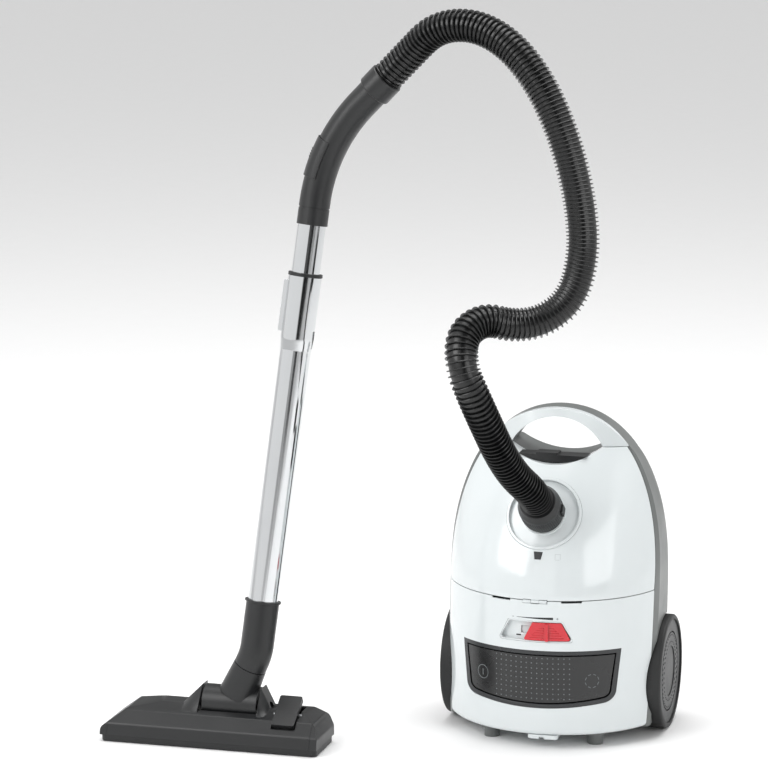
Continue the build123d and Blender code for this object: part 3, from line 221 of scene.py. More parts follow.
NODE_FINISH = {
    "front_shell": WHITE_ABS, "lid": WHITE_ABS, "handle_cover": WHITE_ABS, "slider_bezel": WHITE_ABS,
    "inlet_dish": WHITE_ABS, "cord_outlet": WHITE_ABS, "rear_shell": GREY_ABS, "exhaust_grille": GREY_ABS,
    "parking_feet": GREY_ABS, "panel_frame": FRAME_ABS, "pedal_panel": PANEL_ABS, "slider_knob": RED_ABS,
    "latch_button": CHARCOAL_PP, "indicator_window": SMOKED_PC, "inlet_seal": SEAL_RUBBER,
    "lid_seal": SEAL_RUBBER, "wheel_disc_left": WHEEL_PP, "wheel_disc_right": WHEEL_PP,
    "tyre_left": TYRE_TPE, "tyre_right": TYRE_TPE, "caster_fork": CHARCOAL_PP, "caster_roller": TYRE_TPE,
    "handle_grip": CHARCOAL_PP, "air_slider": CHARCOAL_PP, "swivel_collar": CHARCOAL_PP,
    "hose_cuff": BLACK_PP, "cuff_button": BLACK_PP, "upper_tube": CHROME, "lower_tube": CHROME,
    "lock_sleeve": CHROME, "lock_slide": CHROME, "sleeve_ring": BLACK_PP, "neck_tube": CHARCOAL_PP,
    "head_elbow": CHARCOAL_PP, "head_cover": CHARCOAL_PP, "end_caps": CHARCOAL_PP, "sole_plate": BLACK_PP,
    "brush_carrier": BLACK_PP, "rocker_pedal": BLACK_PP, "head_rollers": TYRE_TPE,
    "premotor_filter": FILTER_CLOTH, "exhaust_filter": FILTER_CLOTH, "circuit_board": BOARD_FR4,
    "bulkhead": NYLON_GF, "bag_holder": NYLON_GF, "motor_housing": NYLON_GF, "reel_drum": NYLON_GF,
    "reel_frame": NYLON_GF,
}


# ---------------------------------------------------------------- meshes
def body_of(node: str) -> str:
    """Name of the body that a node belongs to."""
    bodies = frame["record"]["behaviour"]["bodies"]
    return next(name for name, members in bodies.items() if node in members)


def joint(name: str) -> dict:
    """The frame's joint of that name."""
    return next(j for j in frame["joints"] if j["name"] == name)


def level_way(normal: Vector) -> Vector:
    """Horizontal direction in the surface that has this normal."""
    return Vector((0, 0, 1)).cross(normal).normalized()


def new_piece(name: str, mesh: bpy.types.Mesh, finish: Finish | None = None) -> bpy.types.Object:
    """Links a mesh as an object at the origin.

    Args:
        name: the piece's name.
        mesh: its mesh, already in place.
        finish: its surface, where the mesh has none yet.

    Returns:
        The new object.
    """
    mesh.name = name
    piece = bpy.data.objects.new(name, mesh)
    bpy.context.scene.collection.objects.link(piece)
    if finish:
        mesh.materials.clear()
        mesh.materials.append(finish.make())
    return piece


def smooth(mesh: bpy.types.Mesh, angle: float = 32.0) -> None:
    """Shades a mesh smooth except over edges sharper than the angle in degrees."""
    mesh.shade_smooth()
    mesh.set_sharp_from_angle(angle=math.radians(angle))


def baked(piece: bpy.types.Object) -> bpy.types.Object:
    """Applies all modifiers of a piece and keeps its name.

    Args:
        piece: object with modifiers.

    Returns:
        The same object with a plain mesh.
    """
    bpy.context.view_layer.update()
    graph = bpy.context.evaluated_depsgraph_get()
    mesh = bpy.data.meshes.new_from_object(piece.evaluated_get(graph), depsgraph=graph)
    piece.modifiers.clear()
    piece.data = mesh
    return piece


def mesh_from(build: Callable[[bmesh.types.BMesh], None], name: str) -> bpy.types.Mesh:
    """Runs a bmesh builder and returns its mesh with doubles merged and normals outwards.

    Args:
        build: function that fills the bmesh.
        name: name of the mesh.

    Returns:
        The mesh.
    """
    bm = bmesh.new()
    build(bm)
    bmesh.ops.remove_doubles(bm, verts=bm.verts, dist=1e-6)
    bmesh.ops.recalc_face_normals(bm, faces=bm.faces)
    mesh = bpy.data.meshes.new(name)
    bm.to_mesh(mesh)
    bm.free()
    return mesh


def dressed(node: str, bevel: float = 0.0) -> bpy.types.Object:
    """Copies a CAD node as a smooth piece with softened edges, which stands for the node.

    Args:
        node: name of the CAD node.
        bevel: width in millimetres of the moulded edge radius, none if zero.

    Returns:
        The dressed piece, riding on the node's body.
    """
    bm = bmesh.new()
    bm.from_mesh(frame["nodes"][node].data)
    bmesh.ops.remove_doubles(bm, verts=bm.verts, dist=2e-6)
    bmesh.ops.dissolve_degenerate(bm, edges=bm.edges, dist=1e-6)
    mesh = bpy.data.meshes.new(f"{node}_shell")
    bm.to_mesh(mesh)
    bm.free()
    smooth(mesh)
    piece = new_piece(f"{node}_skin", mesh, NODE_FINISH[node])
    if bevel:
        soften = piece.modifiers.new("edge_radius", "BEVEL")
        soften.width = bevel * MM
        soften.segments = 4 if bevel > 1 else 2
        soften.limit_method = "ANGLE"
        soften.angle_limit = math.radians(40)
        soften.use_clamp_overlap = True
        even = piece.modifiers.new("flat_faces_stay_flat", "WEIGHTED_NORMAL")
        even.keep_sharp = True
        baked(piece)
    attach(piece, body_of(node))
    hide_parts(node)
    return piece


class Surface:
    """The skin of some CAD nodes, to place details on."""

    def __init__(self, *nodes: str) -> None:
        """Gathers the triangles of the nodes."""
        bm = bmesh.new()
        for node in nodes:
            bm.from_mesh(frame["nodes"][node].data)
        self.tree = BVHTree.FromBMesh(bm)
        bm.free()

    def hit(self, start: Vector, way: Vector) -> tuple[Vector, Vector]:
        """First point of the skin along a ray.

        Args:
            start: start of the ray.
            way: its direction.

        Returns:
            The point and the outward normal there.
        """
        spot, normal, _, _ = self.tree.ray_cast(start, way)
        if spot is None:
            raise ValueError(f"nothing at {tuple(start)} towards {tuple(way)}")
        return spot, (normal if normal.dot(way) < 0 else -normal)

    def front(self, x: float, z: float) -> tuple[Vector, Vector]:
        """Point and normal on the front face at a place in metres."""
        return self.hit(Vector((x, -0.5, z)), Vector((0, 1, 0)))


@dataclass
class Station:
    """One place of a repeated detail."""

    spot: Vector
    aim: Vector
    spin: Vector = field(default_factory=lambda: Vector((1, 0, 0)))
    stretch: tuple[float, float, float] = (1.0, 1.0, 1.0)


class Repeater:
    """Geometry Nodes tree that puts one tool mesh at every station."""

    def __init__(self) -> None:
        """Builds the tree."""
        tree = bpy.data.node_groups.new("repeat_on_stations", "GeometryNodeTree")
        face = tree.interface
        face.new_socket("Geometry", in_out="INPUT", socket_type="NodeSocketGeometry")
        self.tool = face.new_socket("Tool", in_out="INPUT", socket_type="NodeSocketObject").identifier
        self.size = face.new_socket("Size", in_out="INPUT", socket_type="NodeSocketFloat").identifier
        self.finish = face.new_socket("Finish", in_out="INPUT", socket_type="NodeSocketMaterial").identifier
        face.new_socket("Geometry", in_out="OUTPUT", socket_type="NodeSocketGeometry")
        source = add_node(tree, "NodeGroupInput").outputs
        shape = add_node(tree, "GeometryNodeObjectInfo", {"Object": source["Tool"]})
        read = {name: add_node(tree, "GeometryNodeInputNamedAttribute", values={"Name": name},
                               data_type="FLOAT_VECTOR").outputs["Attribute"]
                for name in ("aim", "spin", "stretch")}
        turn = add_node(tree, "FunctionNodeAxesToRotation",
                        {"Primary Axis": read["aim"], "Secondary Axis": read["spin"]},
                        primary_axis="Z", secondary_axis="X")
        scale = add_node(tree, "ShaderNodeVectorMath", {0: read["stretch"]}, operation="SCALE")
        tree.links.new(source["Size"], scale.inputs["Scale"])
        placed = add_node(tree, "GeometryNodeInstanceOnPoints",
                          {"Points": source["Geometry"], "Instance": shape.outputs["Geometry"],
                           "Rotation": turn.outputs["Rotation"], "Scale": scale.outputs[0]})
        real = add_node(tree, "GeometryNodeRealizeInstances", {"Geometry": placed.outputs["Instances"]})
        dress = add_node(tree, "GeometryNodeSetMaterial",
                         {"Geometry": real.outputs["Geometry"], "Material": source["Finish"]})
        add_node(tree, "NodeGroupOutput", {"Geometry": dress.outputs["Geometry"]})
        self.tree = tree

    def __call__(self, name: str, tool: bpy.types.Mesh, stations: Sequence[Station], finish: Finish,
                 size: float = 1.0) -> bpy.types.Object:
        """Puts the tool at every station and bakes the result.

        Args:
            name: name of the new piece.
            tool: mesh around the origin, its outward side along Z.
            stations: the places.
            finish: the surface.
            size: overall scale of the tool.

        Returns:
            The piece, not yet riding on a body.
        """
        mesh = bpy.data.meshes.new(name)
        mesh.from_pydata([s.spot for s in stations], [], [])
        for key in ("aim", "spin", "stretch"):
            layer = mesh.attributes.new(key, "FLOAT_VECTOR", "POINT")
            layer.data.foreach_set("vector", [c for s in stations for c in getattr(s, key)])
        piece = new_piece(name, mesh)
        holder = new_piece(f"{name}_tool", tool)
        made = piece.modifiers.new("repeat", "NODES")
        made.node_group = self.tree
        made[self.tool] = holder
        made[self.size] = size
        made[self.finish] = finish.make()
        baked(piece)
        bpy.data.objects.remove(holder)
        for key in ("aim", "spin", "stretch"):
            if key in piece.data.attributes:
                piece.data.attributes.remove(piece.data.attributes[key])
        smooth(piece.data)
        return piece


def prism(outline: Sequence[tuple[float, float]], low: float, high: float,
          top: float = 1.0) -> bpy.types.Mesh:
    """Closed prism over an outline in X and Y, in millimetres, along Z.

    Args:
        outline: corners in order.
        low: height of the foot.
        high: height of the top.
        top: scale of the top outline, for a drafted or crowned edge.

    Returns:
        The mesh.
    """
    def build(bm: bmesh.types.BMesh) -> None:
        rings = []
        for z, grow in ((low, 1.0), ((low + high) / 2, 1.0), (high, top)):
            rings.append([bm.verts.new((x * grow * MM, y * grow * MM, z * MM)) for x, y in outline])
        for under, over in zip(rings, rings[1:]):
            for i in range(len(outline)):
                j = (i + 1) % len(outline)
                bm.faces.new((under[i], under[j], over[j], over[i]))
        bm.faces.new(rings[0][::-1])
        bm.faces.new(rings[-1])
    return mesh_from(build, "prism")


def disc_outline(radius: float, count: int = 12) -> list[tuple[float, float]]:
    """Corners of a round outline."""
    return [(radius * math.cos(math.tau * i / count), radius * math.sin(math.tau * i / count))
            for i in range(count)]


def bar_outline(length: float, width: float, corner: float) -> list[tuple[float, float]]:
    """Corners of a bar with rounded ends, along X."""
    points = []
    for cx, cy, start in ((1, 1, 0), (-1, 1, 90), (-1, -1, 180), (1, -1, 270)):
        for k in range(4):
            turn = math.radians(start + 30 * k)
            points.append((cx * (length / 2 - corner) + corner * math.cos(turn),
                           cy * (width / 2 - corner) + corner * math.sin(turn)))
    return points


def ring_mesh(radius: float, tube: float, around: int = 32, section: int = 6,
              flat: float = 1.0) -> bpy.types.Mesh:
    """Closed ring about Z, in millimetres.

    Args:
        radius: to the middle of its section.
        tube: half the section's height across the ring.
        around: steps round the ring.
        section: steps round the section.
        flat: the section's half length along Z over tube.

    Returns:
        The mesh.
    """
    def build(bm: bmesh.types.BMesh) -> None:
        rows = []
        for i in range(around):
            a = math.tau * i / around
            row = []
            for k in range(section):
                b = math.tau * k / section
                r = radius + tube * math.cos(b)
                rise = tube * flat * math.sin(b)
                row.append(bm.verts.new((r * math.cos(a) * MM, r * math.sin(a) * MM, rise * MM)))
            rows.append(row)
        for i in range(around):
            here, after = rows[i], rows[(i + 1) % around]
            for k in range(section):
                j = (k + 1) % section
                bm.faces.new((here[k], after[k], after[j], here[j]))
    return mesh_from(build, "ring")


def tube_along(points: Sequence[Vector], radii: Sequence[float], around: int = 40) -> bpy.types.Mesh:
    """Closed round bar along a line of points, radii in millimetres, without twist."""
    def build(bm: bmesh.types.BMesh) -> None:
        side = (points[1] - points[0]).orthogonal().normalized()
        rows = []
        for i, spot in enumerate(points):
            way = (points[min(i + 1, len(points) - 1)] - points[max(i - 1, 0)]).normalized()
            side = (side - way * side.dot(way)).normalized()
            other = way.cross(side)
            rows.append([bm.verts.new(spot + (side * math.cos(math.tau * k / around)
                                              + other * math.sin(math.tau * k / around)) * radii[i] * MM)
                         for k in range(around)])
        for here, after in zip(rows, rows[1:]):
            for k in range(around):
                j = (k + 1) % around
                bm.faces.new((here[k], here[j], after[j], after[k]))
        bm.faces.new(rows[0][::-1])
        bm.faces.new(rows[-1])
    return mesh_from(build, "tube")


def joined(name: str, finish: Finish, meshes: Iterable[bpy.types.Mesh]) -> bpy.types.Object:
    """One piece of several meshes in one finish."""
    bm = bmesh.new()
    for mesh in meshes:
        bm.from_mesh(mesh)
    mesh = bpy.data.meshes.new(name)
    bm.to_mesh(mesh)
    bm.free()
    smooth(mesh)
    return new_piece(name, mesh, finish)


# ---------------------------------------------------------------- studio
@dataclass
class Studio:
    """Camera, lights, floor and surroundings."""

    azimuth: float = 15.5
    elevation: float = 11.0
    distance: float = 4.5
    target: Vector = field(default_factory=lambda: Vector((-0.2056, -0.020, 0.4051)))
    lens: float = 179.3

    def build(self) -> None:
        """Makes everything that isn't the object."""
        bpy.context.scene.view_settings.view_transform = "Standard"
        self.camera()
        self.floor()
        self.world()
        self.lamp("key", (-2.4, -2.6, 2.6), 2.4, 74.0)
        self.lamp("fill", (2.8, -2.2, 1.7), 2.0, 34.0)
        self.lamp("top", (0.1, 0.5, 3.2), 2.4, 66.0)

    def camera(self) -> None:
        """Camera at the catalogue view's angle."""
        a, e = math.radians(self.azimuth), math.radians(self.elevation)
        out = Vector((math.sin(a) * math.cos(e), -math.cos(a) * math.cos(e), math.sin(e)))
        data = bpy.data.cameras.new("camera")
        data.lens = self.lens
        data.sensor_width = 36.0
        data.clip_end = 100.0
        camera = bpy.data.objects.new("camera", data)
        camera.location = self.target + out * self.distance
        camera.rotation_euler = (-out).to_track_quat("-Z", "Y").to_euler()
        bpy.context.scene.collection.objects.link(camera)
        bpy.context.scene.camera = camera

    def floor(self) -> None:
        """Plain pale floor."""
        def build(bm: bmesh.types.BMesh) -> None:
            reach = 30.0
            corners = [(-reach, -reach, 0), (reach, -reach, 0), (reach, reach, 0), (-reach, reach, 0)]
            bm.faces.new([bm.verts.new(c) for c in corners])
        floor = new_piece("studio_floor", mesh_from(build, "floor"), FLOOR_PAINT)

    def lamp(self, name: str, spot: tuple[float, float, float], size: float, power: float) -> None:
        """One soft box aimed at the object.

        Args:
            name: its name.
            spot: its place in metres.
            size: its side in metres.
            power: in watts.
        """
        data = bpy.data.lights.new(name, "AREA")
        data.size = size
        data.energy = power
        light = bpy.data.objects.new(name, data)
        light.location = spot
        light.rotation_euler = (self.target - Vector(spot)).to_track_quat("-Z", "Y").to_euler()
        bpy.context.scene.collection.objects.link(light)

    def world(self) -> None:
        """White room with darker gaps between its soft boxes, which bright metal needs."""
        world = bpy.data.worlds.new("studio")
        bpy.context.scene.world = world
        world.use_nodes = True
        tree = world.node_tree
        tree.nodes.clear()
        way = add_node(tree, "ShaderNodeTexCoord").outputs["Generated"]
        parts = add_node(tree, "ShaderNodeSeparateXYZ", {"Vector": way}).outputs
        round_about = add_node(tree, "ShaderNodeMath", {0: parts["X"], 1: parts["Y"]}, operation="ARCTAN2")
        turn = add_node(tree, "ShaderNodeMapRange", {"Value": round_about.outputs[0]},
                        {"From Min": -math.pi, "From Max": math.pi})
        ramp = add_node(tree, "ShaderNodeValToRGB", {"Fac": turn.outputs["Result"]})
        bands = ((0.0, 0.95), (0.30, 1.0), (0.40, 0.9), (0.43, 0.35), (0.50, 0.3), (0.53, 0.9),
                 (0.81, 1.0), (0.835, 0.02), (0.975, 0.02), (0.99, 0.95))
        stops = ramp.color_ramp.elements
        while len(stops) < len(bands):
            stops.new(0.5)
        for stop, (place, level) in zip(stops, bands):
            stop.position = place
            stop.color = (level, level, level, 1)
        glow = add_node(tree, "ShaderNodeBackground", {"Color": ramp.outputs["Color"]}, {"Strength": 0.98})
        plain = add_node(tree, "ShaderNodeBackground", values={"Color": linear("FAFAFA"), "Strength": 1.0})
        seen = add_node(tree, "ShaderNodeLightPath").outputs["Is Camera Ray"]
        mix = add_node(tree, "ShaderNodeMixShader",
                       {0: seen, 1: glow.outputs["Background"], 2: plain.outputs["Background"]})
        add_node(tree, "ShaderNodeOutputWorld", {"Surface": mix.outputs["Shader"]})


# ---------------------------------------------------------------- hose
@dataclass
class Hose:
    """Ribbed suction hose from the grip's collar to the cuff in the lid."""

    diameter: float = 38.0
    core: float = 31.6
    rib: float = 3.2
    tight_pitch: float = 4.5
    loose_pitch: float = 5.9
    route: tuple = (
        (-0.18457, -0.08140, 0.77420), (-0.15817, -0.08255, 0.80151), (-0.125, -0.092, 0.834),
        (-0.078, -0.102, 0.840), (-0.033, -0.114, 0.820), (0.004, -0.126, 0.780), (0.030, -0.136, 0.733),
        (0.047, -0.143, 0.687), (0.059, -0.149, 0.638), (0.063, -0.155, 0.591), (0.053, -0.163, 0.543),
        (0.023, -0.176, 0.517), (-0.010, -0.191, 0.513), (-0.038, -0.206, 0.523), (-0.058, -0.232, 0.508),
        (-0.053, -0.250, 0.474), (-0.040, -0.244, 0.440), (-0.030, -0.225, 0.405), (-0.022, -0.190, 0.364),
        (-0.013, -0.159, 0.334), (0.0, -0.12812, 0.31025), (0.0, -0.10305, 0.29377))

    def line(self) -> list[Vector]:
        """Points of the hose's smooth centre line."""
        curve = bpy.data.curves.new("hose_line", "CURVE")
        curve.dimensions = "3D"
        spline = curve.splines.new("NURBS")
        spline.points.add(len(self.route) - 1)
        for point, spot in zip(spline.points, self.route):
            point.co = (*spot, 1)
        spline.order_u = 3
        spline.use_endpoint_u = True
        spline.resolution_u = 16
        holder = bpy.data.objects.new("hose_line", curve)
        bpy.context.scene.collection.objects.link(holder)
        bpy.context.view_layer.update()
        mesh = bpy.data.meshes.new_from_object(holder)
        points = [v.co.copy() for v in mesh.vertices]
        bpy.data.objects.remove(holder)
        return points

    def stations(self, points: list[Vector]) -> list[Station]:
        """Ribs along the line, wider apart where the hose is pulled."""
        steps = [(b - a).length for a, b in zip(points, points[1:])]
        total = sum(steps)
        ribs, want, gone = [], self.loose_pitch * MM / 2, 0.0
        for a, b, step in zip(points, points[1:], steps):
            while gone + step >= want and want < total - 1.5 * MM:
                way = (b - a).normalized()
                spot = a.lerp(b, (want - gone) / step)
                ribs.append(Station(spot, way, way.orthogonal().normalized()))
                share = want / total
                slack = math.exp(-((share - 0.42) / 0.16) ** 2)
                want += (self.loose_pitch - (self.loose_pitch - self.tight_pitch) * slack) * MM
            gone += step
        return ribs

    def build(self, repeat: Repeater) -> None:
        points = self.line()
        core = tube_along(points, [self.core / 2] * len(points))
        tool = ring_mesh((self.diameter - self.rib) / 2, self.rib / 2, 36, 8, 0.55)
        ribs = repeat("hose_ribs", tool, self.stations(points), HOSE_EVA)
        hose = joined("hose_tube", HOSE_EVA, (core, ribs.data))
        bpy.data.objects.remove(ribs)
        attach(hose, "hose_line")
        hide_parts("hose")


# ---------------------------------------------------------------- canister
@dataclass
class Canister:
    """Shells, control panel, slider and what is printed on them."""

    shell_radius: float = 0.5
    dot: float = 0.85
    dot_step_x: float = 6.25
    dot_step_z: float = 6.1
    dot_columns: int = 15
    dot_rows: int = 9

    def build(self, repeat: Repeater) -> None:
        """Makes every piece of the canister."""
        for node in ("front_shell", "lid", "handle_cover", "rear_shell", "slider_bezel", "inlet_dish",
                     "cord_outlet", "panel_frame", "pedal_panel", "parking_feet", "latch_button",
                     "exhaust_grille", "slider_knob"):
            dressed(node, self.shell_radius)
            LOG.info("shell part: %s", node)
        self.panel_print(repeat)
        self.slider_details(repeat)
        self.lid_print(repeat)
        self.screws(repeat)

    def panel_print(self, repeat: Repeater) -> None:
        """Dot matrix and two pedal symbols on the dark panel."""
        skin = Surface("pedal_panel")
        low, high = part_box("pedal_panel")
        middle = (low.z + high.z) / 2 + 1.0 * MM
        dots = []
        for column in range(self.dot_columns):
            for row in range(self.dot_rows):
                x = (column - (self.dot_columns - 1) / 2) * self.dot_step_x * MM - 4 * MM
                z = middle + (row - (self.dot_rows - 1) / 2) * self.dot_step_z * MM
                spot, normal = skin.front(x, z)
                dots.append(Station(spot, normal))
        tool = prism(disc_outline(self.dot, 10), -0.3, 0.12, 0.8)
        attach(repeat("panel_dots", tool, dots, PRINT_GREY), "pedals")
        self.symbol_power(repeat, skin, -0.066, middle - 1 * MM)
        self.symbol_rewind(repeat, skin, 0.064, middle - 3 * MM)

    def symbol_power(self, repeat: Repeater, skin: Surface, x: float, z: float) -> None:
        """Ring with an upright bar, raised by a hair."""
        spot, normal = skin.front(x, z)
        across = level_way(normal)
        ring = repeat("power_ring", ring_mesh(8.0, 0.4, 40, 6, 0.5),
                      [Station(spot, normal, across)], PRINT_GREY)
        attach(ring, "pedals")
        mark = repeat("power_bar", prism(bar_outline(1.0, 7.5, 0.4), -0.2, 0.15),
                      [Station(spot, normal, across)], PRINT_GREY)
        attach(mark, "pedals")

    def symbol_rewind(self, repeat: Repeater, skin: Surface, x: float, z: float) -> None:
        """Broken ring for the cord pedal."""
        spot, normal = skin.front(x, z)
        across = level_way(normal)
        up = normal.cross(across)
        marks = []
        for i in range(8):
            turn = math.tau * (i + 0.5) / 8
            out = across * math.cos(turn) + up * math.sin(turn)
            marks.append(Station(spot + out * 8.0 * MM, normal, normal.cross(out)))
        tool = prism(bar_outline(3.6, 0.8, 0.3), -0.2, 0.15)
        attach(repeat("rewind_ring", tool, marks, PRINT_GREY), "pedals")

    def slider_details(self, repeat: Repeater) -> None:
        """Grip ribs on the knob, the wedge scale and the index mark."""
        skin = Surface("slider_knob")
        low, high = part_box("slider_knob")
        centre = (low.x + high.x) / 2
        ribs = []
        for row in range(5):
            z = low.z + (3.2 + 2.9 * row) * MM
            for side in (-1, 1):
                reach = 11.8 - 1.5 * row
                spot, normal = skin.front(centre + side * reach * MM, z)
                across = level_way(normal)
                ribs.append(Station(spot, normal, across, ((17.0 - 2.6 * row) / 17.0, 1, 1)))
        tool = prism(bar_outline(17.0, 1.1, 0.5), -0.4, 0.55, 0.9)
        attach(repeat("knob_ribs", tool, ribs, RED_ABS), "slider")
        self.curtain()
        shell = Surface("front_shell", "slider_bezel")
        box_low, box_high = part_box("slider_bezel")
        wedge = []
        for i in range(24):
            x = -0.021 + 0.0018 * i
            spot, normal = shell.front(x, box_high.z + 3.4 * MM)
            across = level_way(normal)
            wedge.append(Station(spot, normal, across, (1, 0.2 + 0.055 * i, 1)))
        tool = prism(bar_outline(1.9, 2.0, 0.2), -0.2, 0.06)
        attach(repeat("power_scale", tool, wedge, PRINT_BLACK), "canister")
        spot, normal = shell.front(-0.021, box_low.z + 5.5 * MM)
        across = level_way(normal)
        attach(repeat("index_mark", prism(bar_outline(6.0, 1.6, 0.6), -0.2, 0.15),
                       [Station(spot, normal, across)], PRINT_BLACK), "canister")
        signs = []
        for x, upright in ((-0.0262, False), (0.0262, False), (0.0262, True)):
            spot, normal = shell.front(x, box_high.z + 3.4 * MM)
            across = level_way(normal)
            signs.append(Station(spot, normal, normal.cross(across) if upright else across))
        tool = prism(bar_outline(2.6, 0.6, 0.25), -0.2, 0.08)
        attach(repeat("scale_signs", tool, signs, PRINT_GREY), "canister")

    def curtain(self) -> None:
        """Thin curved strip behind the slot, which moves with the knob and keeps dust out."""
        slide = joint("power_slide")
        axis = Vector(slide["pos_m"])
        knob_low, knob_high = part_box("slider_knob")
        low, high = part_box("slider_bezel")
        middle = math.atan2((knob_low.x + knob_high.x) / 2, axis.y - knob_low.y)
        front = axis.y - low.y

        def build(bm: bmesh.types.BMesh) -> None:
            rows = []
            for i in range(25):
                turn = middle + math.radians(17.0 * (i / 12 - 1))
                row = []
                for depth, z in ((9.2, low.z + 6 * MM), (9.2, high.z - 6 * MM), (9.9, high.z - 6 * MM),
                                 (9.9, low.z + 6 * MM)):
                    reach = front - depth * MM
                    row.append(bm.verts.new((reach * math.sin(turn), axis.y - reach * math.cos(turn), z)))
                rows.append(row)
            for here, after in zip(rows, rows[1:]):
                for k in range(4):
                    bm.faces.new((here[k], here[(k + 1) % 4], after[(k + 1) % 4], after[k]))
            bm.faces.new(rows[0][::-1])
            bm.faces.new(rows[-1])
        strip = new_piece("slider_curtain", mesh_from(build, "curtain"), WHITE_ABS)
        smooth(strip.data)
        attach(strip, "slider")

    def lid_print(self, repeat: Repeater) -> None:
        """Small bag symbol beside the indicator window."""
        skin = Surface("lid")
        low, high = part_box("indicator_window")
        marks = []
        centre = (high.x + low.x) / 2 + 23 * MM
        middle = (low.z + high.z) / 2 - 1 * MM
        sides = ((0, 3, 7, False), (0, -3, 5, False), (-3, 0, 6, True), (3, 0, 6, True))
        for dx, dz, length, upright in sides:
            spot, normal = skin.front(centre + dx * MM, middle + dz * MM)
            across = level_way(normal)
            spin = normal.cross(across) if upright else across
            marks.append(Station(spot, normal, spin, (length / 6, 1, 1)))
        tool = prism(bar_outline(6.0, 0.6, 0.25), -0.2, 0.06)
        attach(repeat("bag_symbol", tool, marks, PRINT_PALE), "lid")

    def screws(self, repeat: Repeater) -> None:
        """Black crosses on the four case screws: painted shade for their cross recesses."""
        low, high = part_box("shell_screws")
        inset = 4.0 * MM
        bars = []
        for x in (low.x + inset, high.x - inset):
            for z in (low.z + inset, high.z - inset):
                for spin in (Vector((1, 0, 0)), Vector((0, 0, 1))):
                    bars.append(Station(Vector((x, high.y, z)), Vector((0, 1, 0)), spin))
        # a flat black cross on each steel screw head is painted shade standing in for its cross recess
        tool = prism(bar_outline(4.4, 1.0, 0.3), -0.5, 0.03)
        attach(repeat("screw_recesses", tool, bars, PRINT_BLACK), "canister")


@dataclass
class Wheels:
    """Main wheels, caster and their raised marks."""

    dash_rings: tuple = ((43.0, 44), (35.0, 36))
    lug_count: int = 72

    def build(self, repeat: Repeater) -> None:
        """Dresses the wheels and adds dashes and tread."""
        for side, sign in (("left", -1), ("right", 1)):
            dressed(f"tyre_{side}", 0.4)
            dressed(f"wheel_disc_{side}", 0.5)
            self.marks(repeat, side, sign)
        for node in ("caster_fork", "caster_roller"):
            dressed(node, 0.3)
        LOG.info("wheels done")

    def marks(self, repeat: Repeater, side: str, sign: int) -> None:
        """Rings of short dashes on the disc in darker plastic, which is painted shade for its notches, and
        low lugs on the tread.
        """
        low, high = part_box(f"tyre_{side}")
        hub = (low + high) / 2
        out = Vector((sign, 0, 0))
        skin = Surface(f"wheel_disc_{side}")
        dashes = []
        for radius, count in self.dash_rings:
            for i in range(count):
                turn = math.tau * i / count
                spoke = Vector((0, math.cos(turn), math.sin(turn)))
                start = hub + spoke * radius * MM + out * 0.2
                spot, normal = skin.hit(start, -out)
                dashes.append(Station(spot, out, spoke.cross(out)))
        # the dashes are blacker than the disc: painted shade standing in for the notches in the disc's ring
        tool = prism(bar_outline(3.0, 1.0, 0.45), -0.3, 0.45, 0.85)
        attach(repeat(f"wheel_dashes_{side}", tool, dashes, BLACK_PP), f"wheel_{side}")
        lugs = []
        for i in range(self.lug_count):
            turn = math.tau * i / self.lug_count
            spoke = Vector((0, math.cos(turn), math.sin(turn)))
            lugs.append(Station(hub + spoke * (high.z - hub.z), spoke, out))
        tool = prism(bar_outline(11.0, 1.6, 0.5), -0.5, 0.18, 0.8)
        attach(repeat(f"tyre_lugs_{side}", tool, lugs, TYRE_TPE), f"wheel_{side}")


